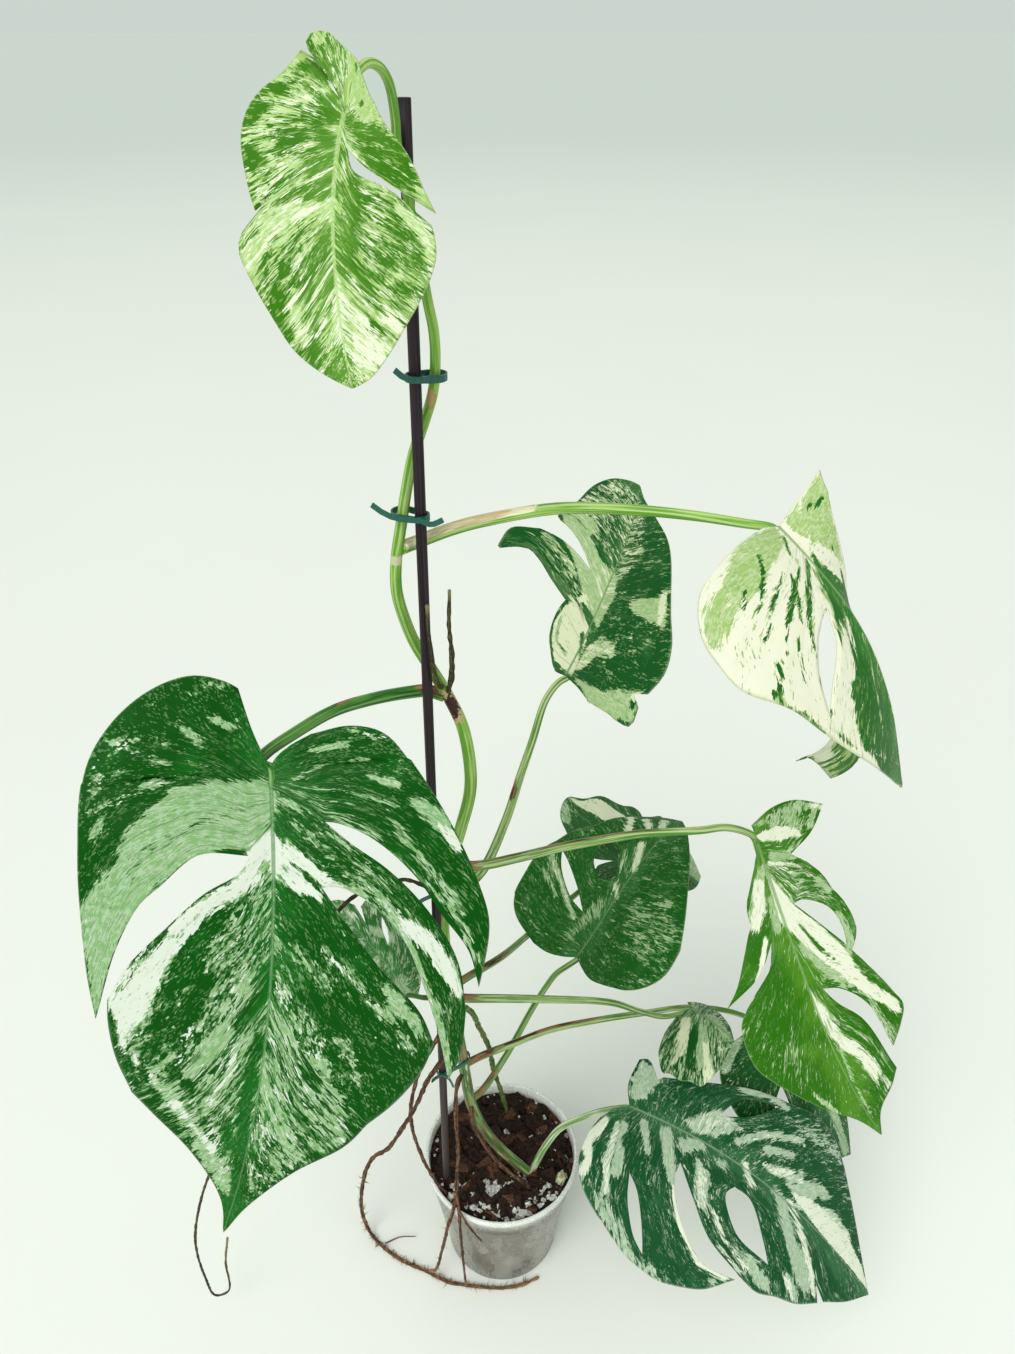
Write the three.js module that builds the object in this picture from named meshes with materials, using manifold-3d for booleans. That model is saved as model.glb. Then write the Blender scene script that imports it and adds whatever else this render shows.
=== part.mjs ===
import * as THREE from 'three';
import { mergeVertices } from 'three/addons/utils/BufferGeometryUtils.js';
import Module from 'manifold-3d';

// Potted variegated monstera, climbing a stake in a clear nursery pot.
// Millimetres, +Z up, origin on the surface at the centre of the pot's base.

const POT = { rimRadius: 65, topRadius: 63, baseRadius: 48, height: 120, wall: 1, floor: 1.6, segments: 40 };
const SOIL = { top: 109, rings: 9, chips: 46, chipRise: 4.5, seed: 11 };
const STAKE = { foot: [-46.6, -20, 58], tip: [-37.8, -25, 902], radius: 3, sides: 12 };
const SEAT_GAP = 0.3;
const BLADE = { thickness: 0.9, rows: 6, columnWidth: 24, midribStep: 20, ribDepth: 1.9, ribFade: 0.25 };
const TIE = { width: 3.4, thickness: 1, slack: 0.9 };

const COLORS = {
  leaf: 0x2f6b2e, pale: 0xc9d3a4, stem: 0x6f9a3f, root: 0x6d5238,
  pot: 0xe6ebe9, soil: 0x3b2a20, stake: 0x2c2228, tie: 0x1f4a3d,
};

// Centre lines, each point [x, y, z].
const STEM = {
  radii: [4.3, 4.3, 4.2, 3.8, 3, 2.1],
  points: [[36, -22, 82], [33, -21, 97], [28, -19, 109], [16, -14, 118], [1, -9, 132], [-14, -6, 157],
    [-24, -6, 191], [-28, -8, 232], [-32, -12, 286], [-37, -13, 329], [-39, -12, 373], [-39, -13, 414],
    [-34, -16, 460], [-25, -18, 496], [-18, -20, 530], [-18, -20, 553], [-22, -18, 578], [-30, -15, 597],
    [-39, -14, 615], [-47, -14, 631], [-52, -17, 649], [-55, -21, 670], [-54, -22, 688], [-50, -20, 710],
    [-47, -16, 726], [-43, -14, 743], [-36, -15, 762], [-31, -20, 778], [-29, -25, 794], [-29, -29, 809],
    [-31, -32, 823], [-34, -34, 845], [-37, -34, 863], [-39, -33, 875]],
};

// Leaves. The flat blade has its base at (0, 0) and its tip at (0, length); x > 0 is its right half.
// Each half lists its edges, from the notch at the base to the tip, and the margins between them.
// An edge leaves the midrib at `at` and runs along `inner`; a slit parts there into `low` and `high`,
// and a closed slit joins again along `outer`. fold, curl and bend are degrees; curl is per 100 mm.
const LEAVES = [
  {
    name: 'leaf_left_large', length: 263, base: [-112, -112, 619],
    azimuth: -82, elevation: -49, roll: 0, bend: [14, 8, 4, 2], sweep: 22, lobe: 12,
    fold: [[14, 8, 4], [14, 8, 4]], curl: [-16, -16], wave: [3, 2.3, 0.1], halfWidth: 100,
    petiole: {
      radii: [3.9, 2.9],
      points: [[-32, -15, 597], [-42, -13, 599], [-52, -16, 600], [-72, -40, 611], [-89, -65, 620],
        [-104, -81, 619], [-118, -96, 616], [-121, -105, 615]],
    },
    right: {
      edges: [
        { high: [[3, -8], [7, -20], [12, -41]] },
        {
          at: 29, inner: [[11, 42]],
          low: [[35, 40], [53, 55], [63, 65], [74, 90], [82, 131]],
          high: [[16, 50], [33, 60], [51, 78], [69, 100], [77, 119]],
        },
        { at: 91, inner: [[18, 123], [42, 160], [62, 178]] },
        {},
      ],
      margins: [
        [[18, -45], [33, -49], [52, -44], [72, -29], [85, -8], [90, 34], [91, 65], [88, 100]],
        [[76, 134], [71, 157]],
        [[50, 190], [28, 211], [7, 240]],
      ],
    },
    left: {
      edges: [
        { high: [[-3, -5], [-11, -11], [-22, -16]] },
        {
          at: 9, inner: [[-26, 27]],
          low: [[-33, 28], [-50, 36], [-69, 52], [-84, 71], [-97, 86], [-104, 104]],
          high: [[-38, 37], [-57, 50], [-77, 69], [-92, 91], [-99, 117]],
        },
        {
          at: 38, inner: [[-24, 58]],
          low: [[-30, 57], [-47, 64], [-65, 82], [-76, 104], [-86, 128], [-96, 155]],
          high: [[-35, 73], [-53, 95], [-75, 117], [-85, 135]],
        },
        { at: 109, inner: [[-23, 148], [-58, 180]] },
        {},
      ],
      margins: [
        [[-42, -19], [-58, -14], [-72, 5], [-91, 36], [-106, 69], [-107, 78]],
        [[-100, 143]],
        [[-81, 150], [-70, 167]],
        [[-49, 194], [-27, 214], [-8, 242]],
      ],
    },
  },
  {
    name: 'leaf_top', length: 104, base: [-56, -69, 900],
    azimuth: -107, elevation: -46, roll: 0, bend: [12, 8, 4, 2], sweep: -17, lobe: 8,
    fold: [[10, 8, 4], [16, 10, 4]], curl: [-22, -22], wave: [2, 2.2, 0.3], halfWidth: 45, columnWidth: 9,
    petiole: {
      radii: [2.1, 1.9],
      points: [[-37, -34, 863], [-39, -33, 875], [-41, -32, 885], [-41, -34, 895], [-42, -42, 908],
        [-45, -50, 914], [-49, -57, 915], [-54, -65, 909]],
    },
    right: {
      edges: [
        { high: [[6, -9], [15, -18], [22, -22]] },
        { at: 16, inner: [[14, 25], [24, 33]], low: [[31, 38]], high: [[30, 42]] },
        { at: 49, inner: [[15, 66], [27, 75]] },
        {},
      ],
      margins: [
        [[27, -13], [36, -2], [40, 12], [35, 29]],
        [[36, 45], [38, 51], [34, 62]],
        [[20, 87], [10, 97]],
      ],
    },
    left: {
      lift: [7, 0, 0],
      edges: [
        { high: [[4, -7], [10, -13], [15, -18]] },
        {
          at: 8, inner: [[-4, 16]],
          low: [[-8, 20], [-14, 25], [-30, 36], [-42, 44]], high: [[-8, 25], [-24, 34], [-40, 48]],
        },
        { at: 47, inner: [[-14, 62], [-31, 80]] },
        {},
      ],
      margins: [
        [[17, -22], [15, -25], [10, -26], [4, -22], [-3, -17], [-8, -9], [-19, 8], [-32, 23]],
        [[-41, 53], [-41, 62], [-37, 72]],
        [[-17, 95], [-8, 102]],
      ],
    },
  },
  {
    name: 'leaf_right_cream', length: 173, base: [143, -30, 711],
    azimuth: -45, elevation: -28, roll: -8, bend: [10, 22, 14, 4], sweep: -28, lobe: 6,
    fold: [[4, 2, 2], [24, -10, -48, -60, -50]], curl: [-20, -14], wave: [2, 2.1, 0.6], halfWidth: 70,
    petiole: {
      radii: [3.8, 2.3],
      points: [[-51, -21, 695], [-46, -14, 694], [-39, -12, 696], [-25, -13, 702], [-9, -16, 708],
        [32, -20, 717], [73, -25, 718], [103, -28, 716], [126, -30, 713], [139, -30, 711]],
    },
    right: {
      edges: [
        { high: [[12, -2], [39, 0]] },
        {
          at: 20, inner: [[20, 46]],
          low: [[43, 54], [57, 66]], high: [[29, 60], [51, 74]], outer: [[60, 83], [64, 90]],
        },
        {},
      ],
      margins: [
        [[61, 4], [80, 9], [88, 14], [99, 25], [103, 35], [104, 47], [81, 69]],
        [[54, 103], [23, 141]],
      ],
    },
    left: {
      lift: [0, -35, 0],
      edges: [
        { high: [[-7, -2], [-28, -9], [-48, -15]] },
        {
          at: 108, inner: [[-14, 132]],
          low: [[-22, 134]], high: [[-19, 154], [-27, 172], [-35, 187], [-42, 199]],
        },
        {},
      ],
      margins: [
        [[-43, -6], [-36, 14], [-34, 39], [-30, 66], [-27, 100]],
        [[-37, 188], [-31, 189], [-28, 199], [-27, 186], [-24, 173], [-15, 163], [-7, 165]],
      ],
    },
  },
  {
    name: 'leaf_right_bright', length: 240, base: [176, 21, 455],
    azimuth: -73, elevation: -35, roll: 0, bend: [14, 12, 4, 0], sweep: -30, lobe: 0,
    fold: [[-30, -6, 0], [24, 12, 8]], curl: [-14, -14], wave: [2, 2.4, 0.2], halfWidth: 70,
    petiole: {
      radii: [3.6, 2.4],
      points: [[-33, -16, 464], [-15, -12, 459], [13, -7, 462], [40, -2, 466], [67, 2, 469],
        [94, 7, 470], [136, 14, 467], [153, 18, 466], [167, 20, 461]],
    },
    right: {
      edges: [
        { high: [[1, 9], [3, 20]] },
        { at: 19, inner: [[14, 46]], low: [[20, 60]], high: [[25, 60]] },
        {
          at: 30, inner: [[9, 64]],
          low: [[16, 74], [29, 88], [57, 100]], high: [[15, 81], [37, 99], [45, 105]],
        },
        { at: 79, inner: [[26, 127], [45, 160]] },
        {},
      ],
      margins: [
        [[12, 30], [20, 42], [22, 53]],
        [[35, 76], [46, 91]],
        [[53, 114], [54, 142]],
        [[24, 193], [8, 217]],
      ],
    },
    left: {
      edges: [
        { high: [[0, -8]] },
        { at: 11, inner: [[-19, 18]], low: [[-37, 7], [-51, -9]], high: [[-27, 28]] },
        {
          at: 23, inner: [[-10, 50]],
          low: [[-16, 49], [-31, 59], [-36, 75], [-33, 96], [-24, 106]],
          high: [[-22, 68], [-37, 94], [-43, 114]],
        },
        {
          at: 68, inner: [[-9, 112]],
          low: [[-20, 117], [-35, 138], [-40, 182]], high: [[-15, 126], [-28, 148], [-35, 201]],
        },
        {},
      ],
      margins: [
        [[-17, -16], [-33, -17]],
        [[-35, 38], [-37, 51], [-38, 65], [-41, 80], [-40, 91]],
        [[-53, 136], [-59, 154], [-51, 169]],
        [[-26, 211], [-10, 222]],
      ],
    },
  },
  {
    name: 'leaf_front_low', length: 248, base: [100, -26, 218],
    azimuth: -17, elevation: -12, roll: 4, bend: [10, 12, 10, 6], sweep: 11, lobe: 6,
    fold: [[2, 0, 0], [14, 10, 4]], curl: [-20, -10], wave: [2, 2.4, 0.5], halfWidth: 90,
    petiole: {
      radii: [3, 2.4],
      points: [[24, -17, 111], [36, -20, 156], [48, -21, 183], [63, -22, 197], [78, -24, 209],
        [92, -26, 216]],
    },
    right: {
      edges: [
        { high: [[8, -11], [19, -20]] },
        {
          at: 19, inner: [[48, 12]],
          low: [[66, 16], [86, 28]], high: [[57, 21], [81, 34]], outer: [[95, 40], [105, 48]],
        },
        {
          at: 37, inner: [[24, 48]],
          low: [[38, 47], [62, 60], [80, 85], [75, 119]], high: [[44, 65], [63, 86], [71, 122]],
        },
        {
          at: 71, inner: [[18, 95]],
          low: [[28, 89], [48, 106]], high: [[19, 110], [38, 130]], outer: [[51, 142], [66, 156]],
        },
        { at: 134, inner: [[20, 175], [34, 188]], low: [[45, 196]], high: [[40, 202]] },
        {},
      ],
      margins: [
        [[32, -25], [56, -27], [73, -18], [87, 1], [100, 27]],
        [[106, 60], [96, 93]],
        [[72, 141]],
        [[59, 176]],
        [[24, 224]],
      ],
    },
    left: {
      edges: [
        { high: [[-15, -6], [-38, -3]] },
        { at: 17, inner: [[-28, 15]], low: [[-33, 12]], high: [[-32, 19]] },
        {
          at: 61, inner: [[-24, 67]],
          low: [[-48, 82]], high: [[-40, 93]], outer: [[-63, 113], [-73, 125]],
        },
        { at: 118, inner: [[-34, 149], [-68, 188]] },
        {},
      ],
      margins: [
        [[-41, 5]],
        [[-42, 46], [-64, 94]],
        [[-81, 150], [-80, 172]],
        [[-47, 205], [-22, 226]],
      ],
    },
  },
  {
    name: 'leaf_upper_back', length: 167, base: [45, 75, 552],
    azimuth: 29, elevation: 58, roll: 0, bend: [6, 12, 8, 2], sweep: -57, lobe: -6,
    fold: [[14, 8, 0], [34, 26, 14]], curl: [-26, 4], wave: [2.5, 2.2, 0.4], halfWidth: 70,
    petiole: {
      radii: [3.6, 2.3],
      points: [[-38, -14, 433], [-25, -8, 435], [-12, 4, 440], [4, 25, 467], [14, 39, 495],
        [22, 50, 516], [31, 64, 540], [40, 72, 549]],
    },
    right: {
      edges: [
        { high: [[20, 1], [39, 0], [57, 2]] },
        { at: 11, inner: [[45, 15], [66, 16]], low: [[75, 12]], high: [[75, 19]] },
        { at: 51, inner: [[41, 53], [66, 55]] },
        {},
      ],
      margins: [
        [[70, 2], [79, 4]],
        [[78, 30], [75, 42]],
        [[56, 70], [37, 99], [20, 121], [6, 145]],
      ],
    },
    left: {
      edges: [
        { high: [[-9, 0], [-16, 7]] },
        {
          at: 33, inner: [[-14, 50]],
          low: [[-20, 60]], high: [[-26, 60], [-42, 78], [-56, 90], [-69, 89], [-81, 83]],
        },
        {
          at: 56, inner: [[-16, 76]],
          low: [[-44, 98], [-64, 108]], high: [[-36, 104], [-54, 126]],
        },
        {},
      ],
      margins: [
        [[-24, 20], [-26, 42]],
        [[-91, 76], [-90, 88], [-83, 104]],
        [[-59, 140], [-46, 166], [-33, 185], [-22, 187], [-8, 177]],
      ],
    },
  },
  {
    name: 'leaf_mid_back', length: 156, base: [61, 52, 299],
    azimuth: 20, elevation: 58, roll: 0, bend: [8, 14, 22, 24], sweep: -46, lobe: 4,
    fold: [[12, 6, 0], [34, 24, 10]], curl: [-24, -20], wave: [2, 2.2, 0.1], halfWidth: 70,
    petiole: {
      radii: [2.9, 2.2],
      points: [[-25, -6, 197], [-16, 4, 195], [4, 20, 219], [25, 38, 254], [36, 45, 272],
        [44, 49, 283], [54, 51, 291]],
    },
    right: {
      edges: [
        { high: [[14, 1], [30, 4], [46, 12]] },
        { at: 39, inner: [[42, 49], [78, 56]] },
        {},
      ],
      margins: [
        [[64, 21], [74, 30], [79, 40]],
        [[68, 72], [49, 95], [27, 122]],
      ],
    },
    left: {
      edges: [
        { high: [[-10, -9], [-22, -16], [-35, -19]] },
        {
          at: 19, inner: [[-17, 33]],
          low: [[-32, 36], [-52, 50]], high: [[-30, 45], [-52, 60]], outer: [[-64, 66], [-75, 71]],
        },
        {
          at: 45, inner: [[-10, 70]],
          low: [[-20, 64], [-35, 75]], high: [[-16, 84], [-26, 95]], outer: [[-40, 100], [-56, 110]],
        },
        {},
      ],
      margins: [
        [[-61, -14], [-73, -4], [-82, 19], [-81, 46]],
        [[-72, 90]],
        [[-48, 126], [-34, 142], [-15, 154]],
      ],
    },
  },
  {
    name: 'leaf_behind_mid', length: 79, base: [97, 134, 326],
    azimuth: -9, elevation: 8, roll: -10, bend: [20, 20], sweep: -25, lobe: 0,
    fold: [[4, 0], [14, 6]], curl: [-20, -10], wave: [1.5, 2.2, 0.4], halfWidth: 45,
    petiole: {
      radii: [3, 2.2],
      points: [[-37, -13, 339], [-25, 0, 336], [-2, 31, 321], [20, 80, 292], [64, 131, 289], [89, 140, 308]],
    },
    right: {
      edges: [
        { high: [[8, -14]] },
        { at: 20, inner: [[20, 28]], low: [[37, 32]], high: [[34, 42]] },
        {},
      ],
      margins: [[[24, -17], [36, -4], [41, 14]], [[26, 60]]],
    },
    left: {
      edges: [
        { high: [[-4, -22], [-29, -43]] },
        { at: 20, inner: [[-47, 34]], low: [[-66, 24]], high: [[-68, 40]] },
        {},
      ],
      margins: [[[-58, -54], [-86, -48], [-84, -18]], [[-66, 66], [-36, 80]]],
    },
  },
  {
    name: 'leaf_small_striped', length: 50, base: [156, 47, 243],
    azimuth: -58, elevation: 27, roll: 0, bend: [14, 16], sweep: -5, lobe: 0,
    fold: [[-20, -20], [-18, -30]], curl: [-30, -30], wave: [1.5, 2.2, 0.1], halfWidth: 45,
    petiole: {
      radii: [3.4, 2],
      points: [[-37, -13, 329], [-24, -9, 324], [30, 5, 306], [85, 20, 284], [111, 30, 261],
        [134, 40, 242], [150, 46, 239]],
    },
    right: {
      edges: [
        { high: [[5, -3], [11, -6]] },
        { at: 9, inner: [[27, 24], [50, 40]] },
        {},
      ],
      margins: [[[28, -6], [46, 3], [55, 18]], [[42, 58], [31, 60], [12, 54]]],
    },
    left: {
      edges: [{ high: [[-8, -14]] }, {}],
      margins: [[[-16, -12], [-21, 4], [-15, 32]]],
    },
  },
  {
    name: 'leaf_dark_behind', length: 144, base: [234, 56, 202],
    azimuth: -47, elevation: -34, roll: 0, bend: [14, 14, 10], sweep: -21, lobe: 6,
    fold: [[4, 0], [4, 0]], curl: [-20, -20], wave: [1.5, 2.2, 0.3], halfWidth: 60,
    petiole: {
      radii: [3, 2.1],
      points: [[-30, -9, 245], [-17, 0, 244], [11, 10, 248], [39, 20, 251], [80, 33, 247],
        [120, 51, 233], [161, 72, 214], [188, 73, 210], [208, 67, 209], [227, 59, 202]],
    },
    right: {
      edges: [
        { high: [[9, -6], [20, -15]] },
        {
          at: 15, inner: [[26, 31]],
          low: [[44, 40]], high: [[32, 50]], outer: [[46, 58], [60, 66]],
        },
        {},
      ],
      margins: [[[40, -18], [59, -15], [73, -2], [74, 32]], [[46, 92], [24, 116]]],
    },
    left: {
      edges: [
        { high: [[-11, -2], [-24, -1]] },
        { at: 28, inner: [[-18, 54]], low: [[-34, 76]], high: [[-27, 84]] },
        {},
      ],
      margins: [[[-38, 10], [-45, 38], [-42, 62]], [[-15, 114]]],
    },
  },
  {
    name: 'leaf_small_behind', length: 92, base: [-67, -32, 357],
    azimuth: 182, elevation: 72, roll: 0, bend: [14, 14], sweep: 19, lobe: 6,
    fold: [[8, 2], [8, 2]], curl: [-16, -16], wave: [1.5, 2.2, 0.3], halfWidth: 45,
    petiole: {
      radii: [2, 1.7],
      points: [[-38, -13, 325], [-47, -14, 330], [-55, -20, 338], [-62, -28, 350]],
    },
    right: {
      edges: [
        { high: [[5, -10], [12, -17]] },
        {
          at: 23, inner: [[14, 32]],
          low: [[25, 36]], high: [[22, 44]], outer: [[34, 48], [44, 53]],
        },
        { at: 46, inner: [[11, 58]], low: [[24, 68]], high: [[18, 74]] },
        {},
      ],
      margins: [[[27, -18], [41, -2], [48, 24]], [[38, 64]], [[10, 86]]],
    },
    left: {
      edges: [
        { high: [[-6, -9], [-12, -14]] },
        { at: 23, inner: [[-14, 30]], low: [[-32, 36], [-44, 46]], high: [[-28, 44], [-38, 58]] },
        {},
      ],
      margins: [[[-26, -15], [-40, 0], [-48, 24]], [[-32, 72], [-13, 86]]],
    },
  },
];

// Aerial roots. A branch starts inside its parent root.
const ROOTS = [
  {
    name: 'root_upright', radii: [1.7, 0.9],
    points: [[-30, -15, 599], [-27, -24, 614], [-26, -27, 632], [-27, -27, 651], [-26, -27, 673]],
  },
  {
    name: 'root_on_stake', radii: [1.3, 0.9],
    points: [[-33, -15, 603], [-34, -25, 611], [-36, -30, 623], [-37, -31, 638], [-38, -31, 651],
      [-38, -31, 666]],
  },
  {
    name: 'root_green', radii: [2, 1.7],
    points: [[-35, -12, 318], [-25, -3, 305], [-16, 8, 266], [-10, 18, 231], [-7, 26, 194],
      [-1, 34, 153], [5, 41, 111], [7, 43, 92]],
  },
  {
    name: 'root_left', radii: [1.6, 1.2],
    points: [[-37, -13, 334], [-39, -24, 326], [-44, -31, 312], [-56, -37, 290], [-65, -39, 258],
      [-69, -39, 222], [-63, -38, 171], [-52, -36, 129], [-45, -33, 108], [-44, -32, 98]],
  },
  {
    name: 'root_round_pot', radii: [1.7, 1.2],
    points: [[-32, -12, 288], [-38, -23, 284], [-45, -31, 279], [-54, -36, 266], [-66, -34, 228],
      [-77, -31, 199], [-92, -26, 162], [-106, -20, 140], [-120, -10, 85], [-125, -4, 23],
      [-118, -10, 3.5], [-104, -22, 1.6], [-90, -31, 1.6], [-64, -42, 1.6], [-47, -50, 1.6],
      [-28, -53, 1.6], [-7, -55, 1.6], [16, -53, 1.6], [32, -46, 1.6]],
  },
  {
    name: 'root_over_rim', radii: [1.7, 1.1],
    points: [[-29, -8.6, 238], [-34, -20, 236], [-35, -30, 214], [-34, -40, 176], [-36, -49, 143],
      [-38, -56, 129], [-43, -59, 108], [-50, -53, 60], [-58, -46, 14], [-63, -44, 8]],
    branches: [
      {
        radii: [1.3, 0.9],
        points: [[-36, -49, 143], [-34, -58, 128], [-33, -61, 96], [-32, -58, 44], [-31, -56, 8]],
      },
      { radii: [1, 0.7], points: [[-34, -58, 128], [-25, -63, 112], [-16, -63, 92]] },
    ],
  },
  {
    name: 'root_along_soil', radii: [1.6, 1.4],
    points: [[-24, -7, 198], [-24, -15, 186], [-17, -17, 162], [0, -24, 135], [22, -30, 116], [30, -32, 100]],
  },
  {
    name: 'root_wiry', radii: [1.2, 0.8],
    points: [[-39, -13, 425], [-47, -10, 434], [-60, -24, 458], [-70, -42, 472], [-90, -60, 478],
      [-122, -80, 445], [-161, -92, 365], [-205, -95, 246], [-221, -93, 198], [-235, -88, 141],
      [-241, -80, 73], [-240, -72, 24], [-232, -69, 24], [-226, -70, 74], [-217, -74, 118]],
  },
];

const STUB = { radii: [4.6, 4], points: [[47, -20, 92], [48, -22, 104], [49, -24, 114], [50, -25, 121]] };

// Twist ties round stake and stem, by height. Tails start on the strap in front of the stake.
const TIES = [
  { name: 'tie_upper', height: 786, tails: [[[5, -3, 1], [10, -5, 3]], [[-5, -2, 2], [-9, -1, 5]]] },
  {
    name: 'tie_middle', height: 714,
    tails: [[[-6, -2, 1], [-16, -3, 4], [-24, -1, 9]], [[6, -3, -1], [12, -4, 2]]],
  },
  {
    name: 'tie_lower', height: 447,
    tails: [[[-6, -2, -1], [-14, -4, -5], [-22, -2, -4]], [[6, -4, 0], [12, -8, 4]]],
  },
  { name: 'tie_base', height: 257, tails: [[[-4, -3, 1], [-7, -8, 4]], [[5, -3, 0], [9, -8, -4]]] },
];

const wasm = await Module();
wasm.setup();

const radians = THREE.MathUtils.degToRad;
const vec = (p) => new THREE.Vector3(p[0], p[1], p[2] ?? 0);

// Value of a list of stations at t in 0..1, straight between them.
function station(values, t) {
  const place = THREE.MathUtils.clamp(t, 0, 1) * (values.length - 1);
  const i = Math.min(values.length - 2, Math.floor(place));
  return values.length === 1 ? values[0] : THREE.MathUtils.lerp(values[i], values[i + 1], place - i);
}

function geometryFrom(points, triangles) {
  const geometry = new THREE.BufferGeometry();
  const numbers = points.flatMap((p) => [p.x, p.y, p.z]);
  geometry.setAttribute('position', new THREE.Float32BufferAttribute(numbers, 3));
  geometry.setIndex(triangles.flat());
  return geometry;
}

// Merge shared vertices and drop the flat triangles that merging leaves.
function weld(source) {
  const geometry = source.clone();
  geometry.deleteAttribute('normal');
  geometry.deleteAttribute('uv');
  const merged = mergeVertices(geometry, 1e-4);
  const index = merged.index.array;
  const kept = [];
  for (let i = 0; i < index.length; i += 3) {
    const [a, b, c] = [index[i], index[i + 1], index[i + 2]];
    if (a !== b && b !== c && c !== a) kept.push(a, b, c);
  }
  merged.setIndex(kept);
  return merged;
}

function toSolid(source) {
  const geometry = weld(source);
  return new wasm.Manifold(new wasm.Mesh({
    numProp: 3,
    vertProperties: new Float32Array(geometry.attributes.position.array),
    triVerts: new Uint32Array(geometry.index.array),
  }));
}

function toGeometry(solid) {
  const mesh = solid.getMesh();
  const geometry = new THREE.BufferGeometry();
  geometry.setAttribute('position', new THREE.BufferAttribute(new Float32Array(mesh.vertProperties), 3));
  geometry.setIndex(new THREE.BufferAttribute(new Uint32Array(mesh.triVerts), 1));
  return geometry;
}

const cut = (solid, tools) => tools.reduce((rest, tool) => rest.subtract(tool), solid);

// Skin a row of rings, each the same number of points, and close both ends.
function skin(rings) {
  const sides = rings[0].length;
  const last = rings.length - 1;
  const id = (i, k) => (i * sides) + (k % sides);
  const triangles = [];
  for (let i = 0; i < last; i += 1) {
    for (let k = 0; k < sides; k += 1) {
      triangles.push([id(i, k), id(i, k + 1), id(i + 1, k + 1)]);
      triangles.push([id(i, k), id(i + 1, k + 1), id(i + 1, k)]);
    }
  }
  for (let k = 1; k < sides - 1; k += 1) {
    triangles.push([id(0, 0), id(0, k + 1), id(0, k)]);
    triangles.push([id(last, 0), id(last, k), id(last, k + 1)]);
  }
  return geometryFrom(rings.flat(), triangles);
}

// A tapering round stem along a smooth centre line.
function taperedTube({ points, radii }, { sides, spacing, grow = 0 }) {
  const curve = new THREE.CatmullRomCurve3(points.map(vec), false, 'centripetal');
  const steps = Math.max(3, Math.round(curve.getLength() / spacing));
  const centres = curve.getSpacedPoints(steps);
  const frames = curve.computeFrenetFrames(steps, false);
  centres[0].addScaledVector(frames.tangents[0], -grow);
  centres[steps].addScaledVector(frames.tangents[steps], grow);
  return skin(centres.map((centre, i) => {
    const radius = station(radii, i / steps) + grow;
    return Array.from({ length: sides }, (_, k) => {
      const angle = (2 * Math.PI * k) / sides;
      return centre.clone()
        .addScaledVector(frames.normals[i], radius * Math.cos(angle))
        .addScaledVector(frames.binormals[i], radius * Math.sin(angle));
    });
  }));
}

// A flat strip on edge along a smooth centre line.
function ribbon(points, width, thickness) {
  const steps = 5;
  const curve = new THREE.CatmullRomCurve3(points);
  return skin(curve.getPoints(steps).map((centre, i) => {
    const along = curve.getTangent(i / steps);
    const out = new THREE.Vector3().crossVectors(along, new THREE.Vector3(0, 0, 1)).normalize();
    const rise = new THREE.Vector3().crossVectors(along, out);
    return [[-1, -1], [1, -1], [1, 1], [-1, 1]].map(([x, y]) => centre.clone()
      .addScaledVector(out, (x * thickness) / 2).addScaledVector(rise, (y * width) / 2));
  }));
}

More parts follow.
